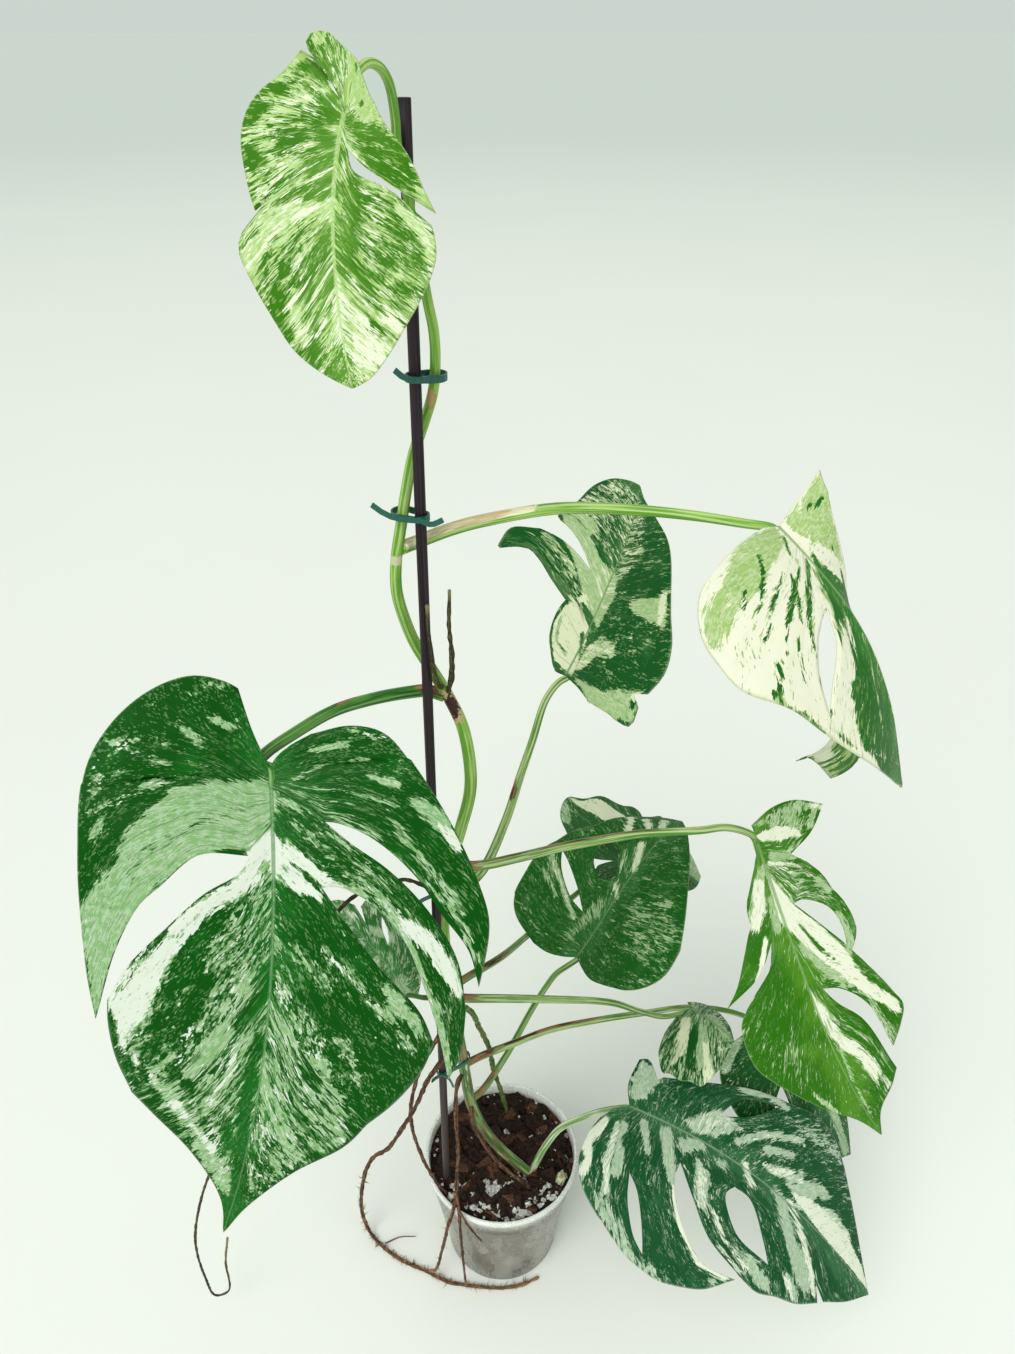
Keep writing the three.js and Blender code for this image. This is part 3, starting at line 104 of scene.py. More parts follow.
# The flat blade has its base at (0, 0) and its tip at (0, length); x > 0 is its right half.
LEAVES = dict(
    leaf_left_large=dict(
        length=263, base=(-112, -112, 619), azimuth=-82, elevation=-49, roll=0, bend=[14, 8, 4, 2],
        sweep=22, lobe=12, fold=[[14, 8, 4], [14, 8, 4]], curl=[-16, -16], wave=[3, 2.3, 0.1],
        half_width=100,
        petiole=dict(radii=[3.9, 2.9], points=[
            (-32, -15, 597), (-42, -13, 599), (-52, -16, 600), (-72, -40, 611), (-89, -65, 620),
            (-104, -81, 619), (-118, -96, 616), (-121, -105, 615)]),
        right=dict(edges=[
            dict(high=[(3, -8), (7, -20), (12, -41)]),
            dict(at=29, inner=[(11, 42)], low=[(35, 40), (53, 55), (63, 65), (74, 90), (82, 131)],
                 high=[(16, 50), (33, 60), (51, 78), (69, 100), (77, 119)]),
            dict(at=91, inner=[(18, 123), (42, 160), (62, 178)]),
            dict(),
        ], margins=[
            [(18, -45), (33, -49), (52, -44), (72, -29), (85, -8), (90, 34), (91, 65), (88, 100)],
            [(76, 134), (71, 157)],
            [(50, 190), (28, 211), (7, 240)],
        ]),
        left=dict(edges=[
            dict(high=[(-3, -5), (-11, -11), (-22, -16)]),
            dict(at=9, inner=[(-26, 27)], low=[(-33, 28), (-50, 36), (-69, 52), (-84, 71), (-97, 86),
                 (-104, 104)], high=[(-38, 37), (-57, 50), (-77, 69), (-92, 91), (-99, 117)]),
            dict(at=38, inner=[(-24, 58)], low=[(-30, 57), (-47, 64), (-65, 82), (-76, 104), (-86, 128),
                 (-96, 155)], high=[(-35, 73), (-53, 95), (-75, 117), (-85, 135)]),
            dict(at=109, inner=[(-23, 148), (-58, 180)]),
            dict(),
        ], margins=[
            [(-42, -19), (-58, -14), (-72, 5), (-91, 36), (-106, 69), (-107, 78)],
            [(-100, 143)],
            [(-81, 150), (-70, 167)],
            [(-49, 194), (-27, 214), (-8, 242)],
        ]),
    ),
    leaf_top=dict(
        length=104, base=(-56, -69, 900), azimuth=-107, elevation=-46, roll=0, bend=[12, 8, 4, 2],
        sweep=-17, lobe=8, fold=[[10, 8, 4], [16, 10, 4]], curl=[-22, -22], wave=[2, 2.2, 0.3],
        half_width=45,
        petiole=dict(radii=[2.1, 1.9], points=[
            (-37, -34, 863), (-39, -33, 875), (-41, -32, 885), (-41, -34, 895), (-42, -42, 908),
            (-45, -50, 914), (-49, -57, 915), (-54, -65, 909)]),
        right=dict(edges=[
            dict(high=[(6, -9), (15, -18), (22, -22)]),
            dict(at=16, inner=[(14, 25), (24, 33)], low=[(31, 38)], high=[(30, 42)]),
            dict(at=49, inner=[(15, 66), (27, 75)]),
            dict(),
        ], margins=[
            [(27, -13), (36, -2), (40, 12), (35, 29)],
            [(36, 45), (38, 51), (34, 62)],
            [(20, 87), (10, 97)],
        ]),
        left=dict(edges=[
            dict(high=[(4, -7), (10, -13), (15, -18)]),
            dict(at=8, inner=[(-4, 16)], low=[(-8, 20), (-14, 25), (-30, 36), (-42, 44)], high=[(-8, 25),
                 (-24, 34), (-40, 48)]),
            dict(at=47, inner=[(-14, 62), (-31, 80)]),
            dict(),
        ], margins=[
            [(17, -22), (15, -25), (10, -26), (4, -22), (-3, -17), (-8, -9), (-19, 8), (-32, 23)],
            [(-41, 53), (-41, 62), (-37, 72)],
            [(-17, 95), (-8, 102)],
        ], lift=[7, 0, 0]),
    ),
    leaf_right_cream=dict(
        length=173, base=(143, -30, 711), azimuth=-45, elevation=-28, roll=-8, bend=[10, 22, 14, 4],
        sweep=-28, lobe=6, fold=[[4, 2, 2], [24, -10, -48, -60, -50]], curl=[-20, -14], wave=[2, 2.1, 0.6],
        half_width=70,
        petiole=dict(radii=[3.8, 2.3], points=[
            (-51, -21, 695), (-46, -14, 694), (-39, -12, 696), (-25, -13, 702), (-9, -16, 708),
            (32, -20, 717), (73, -25, 718), (103, -28, 716), (126, -30, 713), (139, -30, 711)]),
        right=dict(edges=[
            dict(high=[(12, -2), (39, 0)]),
            dict(at=20, inner=[(20, 46)], low=[(43, 54), (57, 66)], high=[(29, 60), (51, 74)],
                 outer=[(60, 83), (64, 90)]),
            dict(),
        ], margins=[
            [(61, 4), (80, 9), (88, 14), (99, 25), (103, 35), (104, 47), (81, 69)],
            [(54, 103), (23, 141)],
        ]),
        left=dict(edges=[
            dict(high=[(-7, -2), (-28, -9), (-48, -15)]),
            dict(at=108, inner=[(-14, 132)], low=[(-22, 134)], high=[(-19, 154), (-27, 172), (-35, 187),
                 (-42, 199)]),
            dict(),
        ], margins=[
            [(-43, -6), (-36, 14), (-34, 39), (-30, 66), (-27, 100)],
            [(-37, 188), (-31, 189), (-28, 199), (-27, 186), (-24, 173), (-15, 163), (-7, 165)],
        ], lift=[0, -35, 0]),
    ),
    leaf_right_bright=dict(
        length=240, base=(176, 21, 455), azimuth=-73, elevation=-35, roll=0, bend=[14, 12, 4, 0], sweep=-30,
        lobe=0, fold=[[-30, -6, 0], [24, 12, 8]], curl=[-14, -14], wave=[2, 2.4, 0.2], half_width=70,
        petiole=dict(radii=[3.6, 2.4], points=[
            (-33, -16, 464), (-15, -12, 459), (13, -7, 462), (40, -2, 466), (67, 2, 469), (94, 7, 470),
            (136, 14, 467), (153, 18, 466), (167, 20, 461)]),
        right=dict(edges=[
            dict(high=[(1, 9), (3, 20)]),
            dict(at=19, inner=[(14, 46)], low=[(20, 60)], high=[(25, 60)]),
            dict(at=30, inner=[(9, 64)], low=[(16, 74), (29, 88), (57, 100)], high=[(15, 81), (37, 99),
                 (45, 105)]),
            dict(at=79, inner=[(26, 127), (45, 160)]),
            dict(),
        ], margins=[
            [(12, 30), (20, 42), (22, 53)],
            [(35, 76), (46, 91)],
            [(53, 114), (54, 142)],
            [(24, 193), (8, 217)],
        ]),
        left=dict(edges=[
            dict(high=[(0, -8)]),
            dict(at=11, inner=[(-19, 18)], low=[(-37, 7), (-51, -9)], high=[(-27, 28)]),
            dict(at=23, inner=[(-10, 50)], low=[(-16, 49), (-31, 59), (-36, 75), (-33, 96), (-24, 106)],
                 high=[(-22, 68), (-37, 94), (-43, 114)]),
            dict(at=68, inner=[(-9, 112)], low=[(-20, 117), (-35, 138), (-40, 182)], high=[(-15, 126),
                 (-28, 148), (-35, 201)]),
            dict(),
        ], margins=[
            [(-17, -16), (-33, -17)],
            [(-35, 38), (-37, 51), (-38, 65), (-41, 80), (-40, 91)],
            [(-53, 136), (-59, 154), (-51, 169)],
            [(-26, 211), (-10, 222)],
        ]),
    ),
    leaf_front_low=dict(
        length=248, base=(100, -26, 218), azimuth=-17, elevation=-12, roll=4, bend=[10, 12, 10, 6],
        sweep=11, lobe=6, fold=[[2, 0, 0], [14, 10, 4]], curl=[-20, -10], wave=[2, 2.4, 0.5], half_width=90,
        petiole=dict(radii=[3, 2.4], points=[
            (24, -17, 111), (36, -20, 156), (48, -21, 183), (63, -22, 197), (78, -24, 209), (92, -26, 216)]),
        right=dict(edges=[
            dict(high=[(8, -11), (19, -20)]),
            dict(at=19, inner=[(48, 12)], low=[(66, 16), (86, 28)], high=[(57, 21), (81, 34)],
                 outer=[(95, 40), (105, 48)]),
            dict(at=37, inner=[(24, 48)], low=[(38, 47), (62, 60), (80, 85), (75, 119)], high=[(44, 65),
                 (63, 86), (71, 122)]),
            dict(at=71, inner=[(18, 95)], low=[(28, 89), (48, 106)], high=[(19, 110), (38, 130)],
                 outer=[(51, 142), (66, 156)]),
            dict(at=134, inner=[(20, 175), (34, 188)], low=[(45, 196)], high=[(40, 202)]),
            dict(),
        ], margins=[
            [(32, -25), (56, -27), (73, -18), (87, 1), (100, 27)],
            [(106, 60), (96, 93)],
            [(72, 141)],
            [(59, 176)],
            [(24, 224)],
        ]),
        left=dict(edges=[
            dict(high=[(-15, -6), (-38, -3)]),
            dict(at=17, inner=[(-28, 15)], low=[(-33, 12)], high=[(-32, 19)]),
            dict(at=61, inner=[(-24, 67)], low=[(-48, 82)], high=[(-40, 93)], outer=[(-63, 113),
                 (-73, 125)]),
            dict(at=118, inner=[(-34, 149), (-68, 188)]),
            dict(),
        ], margins=[
            [(-41, 5)],
            [(-42, 46), (-64, 94)],
            [(-81, 150), (-80, 172)],
            [(-47, 205), (-22, 226)],
        ]),
    ),
    leaf_upper_back=dict(
        length=167, base=(45, 75, 552), azimuth=29, elevation=58, roll=0, bend=[6, 12, 8, 2], sweep=-57,
        lobe=-6, fold=[[14, 8, 0], [34, 26, 14]], curl=[-26, 4], wave=[2.5, 2.2, 0.4], half_width=70,
        petiole=dict(radii=[3.6, 2.3], points=[
            (-38, -14, 433), (-25, -8, 435), (-12, 4, 440), (4, 25, 467), (14, 39, 495), (22, 50, 516),
            (31, 64, 540), (40, 72, 549)]),
        right=dict(edges=[
            dict(high=[(20, 1), (39, 0), (57, 2)]),
            dict(at=11, inner=[(45, 15), (66, 16)], low=[(75, 12)], high=[(75, 19)]),
            dict(at=51, inner=[(41, 53), (66, 55)]),
            dict(),
        ], margins=[
            [(70, 2), (79, 4)],
            [(78, 30), (75, 42)],
            [(56, 70), (37, 99), (20, 121), (6, 145)],
        ]),
        left=dict(edges=[
            dict(high=[(-9, 0), (-16, 7)]),
            dict(at=33, inner=[(-14, 50)], low=[(-20, 60)], high=[(-26, 60), (-42, 78), (-56, 90),
                 (-69, 89), (-81, 83)]),
            dict(at=56, inner=[(-16, 76)], low=[(-44, 98), (-64, 108)], high=[(-36, 104), (-54, 126)]),
            dict(),
        ], margins=[
            [(-24, 20), (-26, 42)],
            [(-91, 76), (-90, 88), (-83, 104)],
            [(-59, 140), (-46, 166), (-33, 185), (-22, 187), (-8, 177)],
        ]),
    ),
    leaf_mid_back=dict(
        length=156, base=(61, 52, 299), azimuth=20, elevation=58, roll=0, bend=[8, 14, 22, 24], sweep=-46,
        lobe=4, fold=[[12, 6, 0], [34, 24, 10]], curl=[-24, -20], wave=[2, 2.2, 0.1], half_width=70,
        petiole=dict(radii=[2.9, 2.2], points=[
            (-25, -6, 197), (-16, 4, 195), (4, 20, 219), (25, 38, 254), (36, 45, 272), (44, 49, 283),
            (54, 51, 291)]),
        right=dict(edges=[
            dict(high=[(14, 1), (30, 4), (46, 12)]),
            dict(at=39, inner=[(42, 49), (78, 56)]),
            dict(),
        ], margins=[
            [(64, 21), (74, 30), (79, 40)],
            [(68, 72), (49, 95), (27, 122)],
        ]),
        left=dict(edges=[
            dict(high=[(-10, -9), (-22, -16), (-35, -19)]),
            dict(at=19, inner=[(-17, 33)], low=[(-32, 36), (-52, 50)], high=[(-30, 45), (-52, 60)],
                 outer=[(-64, 66), (-75, 71)]),
            dict(at=45, inner=[(-10, 70)], low=[(-20, 64), (-35, 75)], high=[(-16, 84), (-26, 95)],
                 outer=[(-40, 100), (-56, 110)]),
            dict(),
        ], margins=[
            [(-61, -14), (-73, -4), (-82, 19), (-81, 46)],
            [(-72, 90)],
            [(-48, 126), (-34, 142), (-15, 154)],
        ]),
    ),
    leaf_behind_mid=dict(
        length=79, base=(97, 134, 326), azimuth=-9, elevation=8, roll=-10, bend=[20, 20], sweep=-25, lobe=0,
        fold=[[4, 0], [14, 6]], curl=[-20, -10], wave=[1.5, 2.2, 0.4], half_width=45,
        petiole=dict(radii=[3, 2.2], points=[
            (-37, -13, 339), (-25, 0, 336), (-2, 31, 321), (20, 80, 292), (64, 131, 289), (89, 140, 308)]),
        right=dict(edges=[
            dict(high=[(8, -14)]),
            dict(at=20, inner=[(20, 28)], low=[(37, 32)], high=[(34, 42)]),
            dict(),
        ], margins=[
            [(24, -17), (36, -4), (41, 14)],
            [(26, 60)],
        ]),
        left=dict(edges=[
            dict(high=[(-4, -22), (-29, -43)]),
            dict(at=20, inner=[(-47, 34)], low=[(-66, 24)], high=[(-68, 40)]),
            dict(),
        ], margins=[
            [(-58, -54), (-86, -48), (-84, -18)],
            [(-66, 66), (-36, 80)],
        ]),
    ),
    leaf_small_striped=dict(
        length=50, base=(156, 47, 243), azimuth=-58, elevation=27, roll=0, bend=[14, 16], sweep=-5, lobe=0,
        fold=[[-20, -20], [-18, -30]], curl=[-30, -30], wave=[1.5, 2.2, 0.1], half_width=45,
        petiole=dict(radii=[3.4, 2], points=[
            (-37, -13, 329), (-24, -9, 324), (30, 5, 306), (85, 20, 284), (111, 30, 261), (134, 40, 242),
            (150, 46, 239)]),
        right=dict(edges=[
            dict(high=[(5, -3), (11, -6)]),
            dict(at=9, inner=[(27, 24), (50, 40)]),
            dict(),
        ], margins=[
            [(28, -6), (46, 3), (55, 18)],
            [(42, 58), (31, 60), (12, 54)],
        ]),
        left=dict(edges=[
            dict(high=[(-8, -14)]),
            dict(),
        ], margins=[
            [(-16, -12), (-21, 4), (-15, 32)],
        ]),
    ),
    leaf_dark_behind=dict(
        length=144, base=(234, 56, 202), azimuth=-47, elevation=-34, roll=0, bend=[14, 14, 10], sweep=-21,
        lobe=6, fold=[[4, 0], [4, 0]], curl=[-20, -20], wave=[1.5, 2.2, 0.3], half_width=60,
        petiole=dict(radii=[3, 2.1], points=[
            (-30, -9, 245), (-17, 0, 244), (11, 10, 248), (39, 20, 251), (80, 33, 247), (120, 51, 233),
            (161, 72, 214), (188, 73, 210), (208, 67, 209), (227, 59, 202)]),
        right=dict(edges=[
            dict(high=[(9, -6), (20, -15)]),
            dict(at=15, inner=[(26, 31)], low=[(44, 40)], high=[(32, 50)], outer=[(46, 58), (60, 66)]),
            dict(),
        ], margins=[
            [(40, -18), (59, -15), (73, -2), (74, 32)],
            [(46, 92), (24, 116)],
        ]),
        left=dict(edges=[
            dict(high=[(-11, -2), (-24, -1)]),
            dict(at=28, inner=[(-18, 54)], low=[(-34, 76)], high=[(-27, 84)]),
            dict(),
        ], margins=[
            [(-38, 10), (-45, 38), (-42, 62)],
            [(-15, 114)],
        ]),
    ),
    leaf_small_behind=dict(
        length=92, base=(-67, -32, 357), azimuth=182, elevation=72, roll=0, bend=[14, 14], sweep=19, lobe=6,
        fold=[[8, 2], [8, 2]], curl=[-16, -16], wave=[1.5, 2.2, 0.3], half_width=45,
        petiole=dict(radii=[2, 1.7], points=[
            (-38, -13, 325), (-47, -14, 330), (-55, -20, 338), (-62, -28, 350)]),
        right=dict(edges=[
            dict(high=[(5, -10), (12, -17)]),
            dict(at=23, inner=[(14, 32)], low=[(25, 36)], high=[(22, 44)], outer=[(34, 48), (44, 53)]),
            dict(at=46, inner=[(11, 58)], low=[(24, 68)], high=[(18, 74)]),
            dict(),
        ], margins=[
            [(27, -18), (41, -2), (48, 24)],
            [(38, 64)],
            [(10, 86)],
        ]),
        left=dict(edges=[
            dict(high=[(-6, -9), (-12, -14)]),
            dict(at=23, inner=[(-14, 30)], low=[(-32, 36), (-44, 46)], high=[(-28, 44), (-38, 58)]),
            dict(),
        ], margins=[
            [(-26, -15), (-40, 0), (-48, 24)],
            [(-32, 72), (-13, 86)],
        ]),
    ),
)


# Curves and surfaces

def lerp(a, b, t):
    return a + (b - a) * t


def smoothstep(a, b, x):
    t = np.clip((x - a) / (b - a), 0, 1)
    return t * t * (3 - 2 * t)


def station(values, t):
    """Value of a list of stations at t in 0..1, straight between them."""
    return np.interp(t, np.linspace(0, 1, len(values)), values)


def spline(points, per=10):
    """Dense points of a centripetal Catmull-Rom curve."""
    pts = np.array(points, float)
    if len(pts) < 3:
        return np.stack([lerp(pts[0], pts[-1], t) for t in np.linspace(0, 1, per + 1)])
    ext = np.vstack([2 * pts[0] - pts[1], pts, 2 * pts[-1] - pts[-2]])
    out = []
    t = (np.arange(per) / per)[:, None]
    for i in range(len(pts) - 1):
        p0, p1, p2, p3 = ext[i:i + 4]
        d0, d1, d2 = [max(1e-6, np.linalg.norm(b - a) ** 0.5) for a, b in ((p0, p1), (p1, p2), (p2, p3))]
        m1 = (p2 - p1) + d1 * ((p1 - p0) / d0 - (p2 - p0) / (d0 + d1))
        m2 = (p2 - p1) + d1 * ((p3 - p2) / d2 - (p3 - p1) / (d1 + d2))
        out.append(p1 * (2 * t**3 - 3 * t**2 + 1) + m1 * (t**3 - 2 * t**2 + t)
                   + p2 * (3 * t**2 - 2 * t**3) + m2 * (t**3 - t**2))
    out.append(pts[-1:])
    return np.vstack(out)


def spread(points, fractions):
    """Points of a smooth line at the given fractions of its length, and that length."""
    if len(points) == 1:
        return np.repeat(np.array(points, float), len(fractions), 0), 0.0
    curve = spline(points)
    run = np.r_[0, np.cumsum(np.linalg.norm(np.diff(curve, axis=0), axis=1))]
    at = np.asarray(fractions) * run[-1]
    return np.stack([np.interp(at, run, curve[:, k]) for k in range(curve.shape[1])], 1), run[-1]


def line_length(points):
    """Length of a line with straight stretches."""
    return float(np.linalg.norm(np.diff(np.array(points, float), axis=0), axis=1).sum())


def turn(v, axis, angle):
    """A vector turned about a unit axis."""
    c, s = math.cos(angle), math.sin(angle)
    return v * c + np.cross(axis, v) * s + axis * np.dot(axis, v) * (1 - c)


class Surface:
    """Where flat points of a blade lie: the midrib bends, sweeps and rolls, and each half folds,
    curls and waves away from it."""
    STEPS = 24

    def __init__(self, leaf):
        self.leaf = leaf
        az, el = math.radians(leaf["azimuth"]), math.radians(leaf["elevation"])
        forward = np.array([math.cos(el) * math.cos(az), math.cos(el) * math.sin(az), math.sin(el)])
        side = np.cross(forward, [0, 0, 1.0])
        side /= np.linalg.norm(side)
        up = np.cross(side, forward)
        roll = math.radians(leaf["roll"])
        side, up = turn(side, forward, roll), turn(up, forward, roll)
        place = np.array(leaf["base"], float)
        rows = [(place, forward, side, up)]
        bends = leaf["bend"]
        sweep = math.radians(leaf["sweep"]) / self.STEPS
        for i in range(self.STEPS):
            bend = math.radians(bends[int((i + 0.5) / self.STEPS * len(bends))]) * len(bends) / self.STEPS
            half = turn(turn(forward, side, -bend / 2), up, -sweep / 2)
            place = place + half * leaf["length"] / self.STEPS
            new_up = turn(up, side, -bend)
            forward = turn(turn(forward, side, -bend), new_up, -sweep)
            side, up = turn(side, new_up, -sweep), new_up
            rows.append((place, forward, side, up))
        self.place, self.forward, self.side, self.up = [np.array(c) for c in zip(*rows)]

    def __call__(self, x, y, lift=0.0):
        leaf = self.leaf
        x, y = np.atleast_1d(np.asarray(x, float)), np.atleast_1d(np.asarray(y, float))
        t = y / leaf["length"]
        step = np.clip(t, 0, 1.15) * self.STEPS
        i = np.minimum(self.STEPS - 1, step.astype(int))
        f = (step - i)[:, None]
        place, side, up = [lerp(a[i], a[i + 1], f) for a in (self.place, self.side, self.up)]
        lobe = math.radians(leaf["lobe"])
        behind = (y < 0)[:, None]
        back = self.forward[0] * math.cos(lobe) - self.up[0] * math.sin(lobe)
        place = np.where(behind, self.place[0] + y[:, None] * back, place)
        up = np.where(behind, self.up[0] * math.cos(lobe) + self.forward[0] * math.sin(lobe), up)
        side = np.where(behind, self.side[0], side)
        left = x < 0
        reach = np.abs(x)
        fold = np.radians(np.where(left, station(leaf["fold"][1], t), station(leaf["fold"][0], t)))
        curl = np.radians(np.where(left, leaf["curl"][1], leaf["curl"][0])) / 100
        across = (np.sin(fold + curl * reach) - np.sin(fold)) / curl
        size, count, phase = leaf["wave"]
        swell = size * np.minimum(1.3, reach / leaf["half_width"]) ** 2
        ripple = swell * np.sin(2 * np.pi * (count * t + phase + 0.37 * left))
        rise = (np.cos(fold) - np.cos(fold + curl * reach)) / curl + ripple + lift
        return place + side * (np.where(left, -1, 1) * across)[:, None] + up * rise[:, None]


def edge_sides(edge, start, ts):
    """The two sides of an edge at the row fractions ts, from the midrib to the margin, and its
    length. It is one line, or a slit that opens after inner into low and high and that may close
    again into outer."""
    rows = len(ts) - 1
    inner, low, high, outer = [edge.get(k, []) for k in ("inner", "low", "high", "outer")]
    if not inner or not low:
        side, total = spread([start] + (inner or high), ts)
        return side, side, total
    stem = [start] + inner
    split, join = inner[-1], outer[:1]
    lengths = [line_length(stem), line_length([split] + low + join), line_length(outer) if outer else 0]
    total = sum(lengths)
    opens = int(np.clip(np.searchsorted(ts, lengths[0] / total), 2, rows - 3))
    closes = rows
    if outer:
        closes = int(np.clip(np.searchsorted(ts, (lengths[0] + lengths[1]) / total), opens + 2, rows - 1))
    shared, _ = spread(stem, ts[:opens + 1] / ts[opens])
    parts = (ts[opens:closes + 1] - ts[opens]) / (ts[closes] - ts[opens])
    rest = np.zeros((0, 2))
    if outer:
        rest = spread(outer, (ts[closes:] - ts[closes]) / (1 - ts[closes]))[0][1:]
    sides = [np.vstack([shared, spread([split] + line + join, parts)[0][1:], rest]) for line in (low, high)]
    return sides[0], sides[1], total


class MeshData:
    """Vertices, faces and attributes gathered before a mesh is made."""

    def __init__(self):
        self.verts, self.faces, self.slots = [], [], []
        self.point, self.corner = {}, {}

    def add(self, verts, faces, point=None, corner=None, slot=0):
        """Adds a piece in one material slot, with vectors by name for its points and its corners."""
        base = sum(len(v) for v in self.verts)
        self.verts.append(np.asarray(verts, float))
        self.faces += [tuple(int(i) + base for i in f) for f in faces]
        self.slots += [slot] * len(faces)
        corners = sum(len(f) for f in faces)
        for key, value in (point or {}).items():
            self.point.setdefault(key, []).append((base, np.asarray(value, float)))
        for key, value in (corner or {}).items():
            start = sum(len(f) for f in self.faces) - corners
            self.corner.setdefault(key, []).append((start, np.asarray(value, float)))

    def build(self, name, materials, smooth=True):
        verts = np.clip(np.vstack(self.verts) * MM, CAD_BOX[0], CAD_BOX[1])
        mesh = bpy.data.meshes.new(name)
        mesh.from_pydata(verts.tolist(), [], self.faces)
        for material in materials:
            mesh.materials.append(material)
        mesh.polygons.foreach_set("material_index", self.slots)
        layers = (self.point, "POINT", len(verts)), (self.corner, "CORNER", len(mesh.loops))
        for data, domain, size in layers:
            for key, parts in data.items():
                full = np.zeros((size, 3))
                for start, value in parts:
                    full[start:start + len(value)] = value
                layer = mesh.attributes.new(key, "FLOAT_VECTOR", domain)
                layer.data.foreach_set("vector", full.ravel())
        mesh.polygons.foreach_set("use_smooth", [smooth] * len(mesh.polygons))
        mesh.update()
        obj = bpy.data.objects.new(name, mesh)
        bpy.context.collection.objects.link(obj)
        return obj


def stand_in(obj, node):
    """The piece replaces its CAD node and rides with the plant."""
    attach(obj, "root")
    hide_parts(node)


# Blades

# The grid of a blade's cells, half its thickness, the room between side veins, how much the skin
# puckers up between them and how wide the midrib is above and below, all in mm but the rows
HALVES = ("right", "left")
ROWS, ROW_CROWDING = 38, 1.25
COLUMN = 3.6
MIDRIB_STEP = 3
BLADE_HALF = 0.36
VEIN_SPACING = 30
PUCKER = 0.55
RIDGE_WIDTH, KEEL_WIDTH = 1.5, 1.7


def edge_starts(half, length):
    """Where the edges of a half leave the midrib, from the base to the tip."""
    return [0.0] + [float(edge.get("at", length)) for edge in half["edges"][1:]]


def patches(leaf, ts, columns_for):
    """The fields between neighbouring edges of each half, as grids of flat points from the midrib
    (row fraction 0) to the margin (1), with as many columns as columns_for says for their width."""
    for hand, name in enumerate(HALVES):
        half = leaf[name]
        starts = edge_starts(half, leaf["length"])
        sides = [edge_sides(edge, (0.0, start), ts) for edge, start in zip(half["edges"], starts)]
        for i, margin in enumerate(half["margins"]):
            first, second = sides[i][1], sides[i + 1][0]
            rim = [tuple(first[-1])] + list(margin) + [tuple(second[-1])]
            width = line_length(rim)
            us = np.linspace(0, 1, columns_for(width) + 1)
            edge = spread(rim, us)[0]
            a, b = np.array([0.0, starts[i]]), np.array([0.0, starts[i + 1]])
            v, u = ts[:, None, None], us[None, :, None]
            grid = (1 - v) * (a + (b - a) * u) + v * edge[None]
            grid = grid + (1 - u) * first[:, None] + u * second[:, None]
            grid = grid - (1 - u) * (1 - v) * a - u * (1 - v) * b
            grid = grid - (1 - u) * v * first[-1] - u * v * second[-1]
            lift = half.get("lift", [0] * len(starts))[i] * ts[:, None] ** 2 * (1 - us)
            reach = (sides[i][2] + sides[i + 1][2]) / 2
            yield dict(hand=hand, low=starts[i], high=starts[i + 1], width=width, reach=reach,
                       us=us, grid=grid, lift=lift)


def zip_rows(near, near_u, far, far_u):
    """Triangles between two chains of vertices, given with their fractions from 0 to 1."""
    faces, picks = [], []
    i = j = 0
    while i < len(near) - 1 or j < len(far) - 1:
        if i == len(near) - 1 or (j < len(far) - 1 and far_u[j + 1] <= near_u[i + 1]):
            faces.append((near[i], far[j], far[j + 1]))
            picks.append(((0, near_u[i]), (1, far_u[j]), (1, far_u[j + 1])))
            j += 1
        else:
            faces.append((near[i], far[j], near[i + 1]))
            picks.append(((0, near_u[i]), (1, far_u[j]), (0, near_u[i + 1])))
            i += 1
    return faces, picks


def project(points):
    """The photo's pixels at which the camera sees points, and their distance along its view in mm."""
    pitch = math.radians(CAMERA["pitch"])
    away = points - np.array(CAMERA["place"], float)
    depth = away[:, 1] * math.cos(pitch) - away[:, 2] * math.sin(pitch)
    rise = away[:, 1] * math.sin(pitch) + away[:, 2] * math.cos(pitch)
    across = CAMERA["centre"][0] + CAMERA["focal"] * away[:, 0] / depth
    down = CAMERA["centre"][1] - CAMERA["focal"] * rise / depth
    return np.stack([across, down, depth], 1)


# How closely a blade is sampled, how many pixels a mm of distance from the camera counts for, and how
# many mm apart two samples may lie and still count as one place
SAMPLE_ROWS, SAMPLE_CROWDING = 30, 1.2
SAMPLE_STEP = 2.5
DEPTH_COST = 0.02
SAME_PLACE = 9


def seen_points(leaf, surface):
    """Flat points all over each half of a blade, and where the camera sees them."""
    ts = np.linspace(0, 1, SAMPLE_ROWS + 1) ** SAMPLE_CROWDING
    flats = [], []
    for patch in patches(leaf, ts, lambda width: max(6, int(width / SAMPLE_STEP))):
        flats[patch["hand"]].append(np.dstack([patch["grid"], patch["lift"]]).reshape(-1, 3))
    seen = []
    for sign, parts in zip((1, -1), flats):
        flat = np.vstack(parts)
        flat[:, 0] = sign * (np.abs(flat[:, 0]) + 1e-6)
        seen.append((flat[:, :2], project(surface(flat[:, 0], flat[:, 1], flat[:, 2]))))
    return seen


def lay_down(point, seen):
    """A stroke's point in the photo, moved to the flat blade, in whole mm. Of two folds that the
    camera sees there, the nearer one is taken."""
    best = None
    for flat, at in seen:
        gap = np.hypot(at[:, 0] - point[0], at[:, 1] - point[1])
        near = np.argsort(gap)[:4]
        depth = at[near[0], 2]
        cost = gap[near[0]] + depth * DEPTH_COST
        if best is None or cost < best[0]:
            close = np.linalg.norm(flat[near] - flat[near[0]], axis=1) < SAME_PLACE
            weight = 1 / (gap[near] + 0.3) * close
            best = cost, (flat[near] * weight[:, None]).sum(0) / weight.sum(), depth
    cost, place, depth = best
    reach = [round(max(1.0, r * depth / CAMERA["focal"]), 1) for r in point[2:]]
    return [round(float(c)) for c in place] + reach


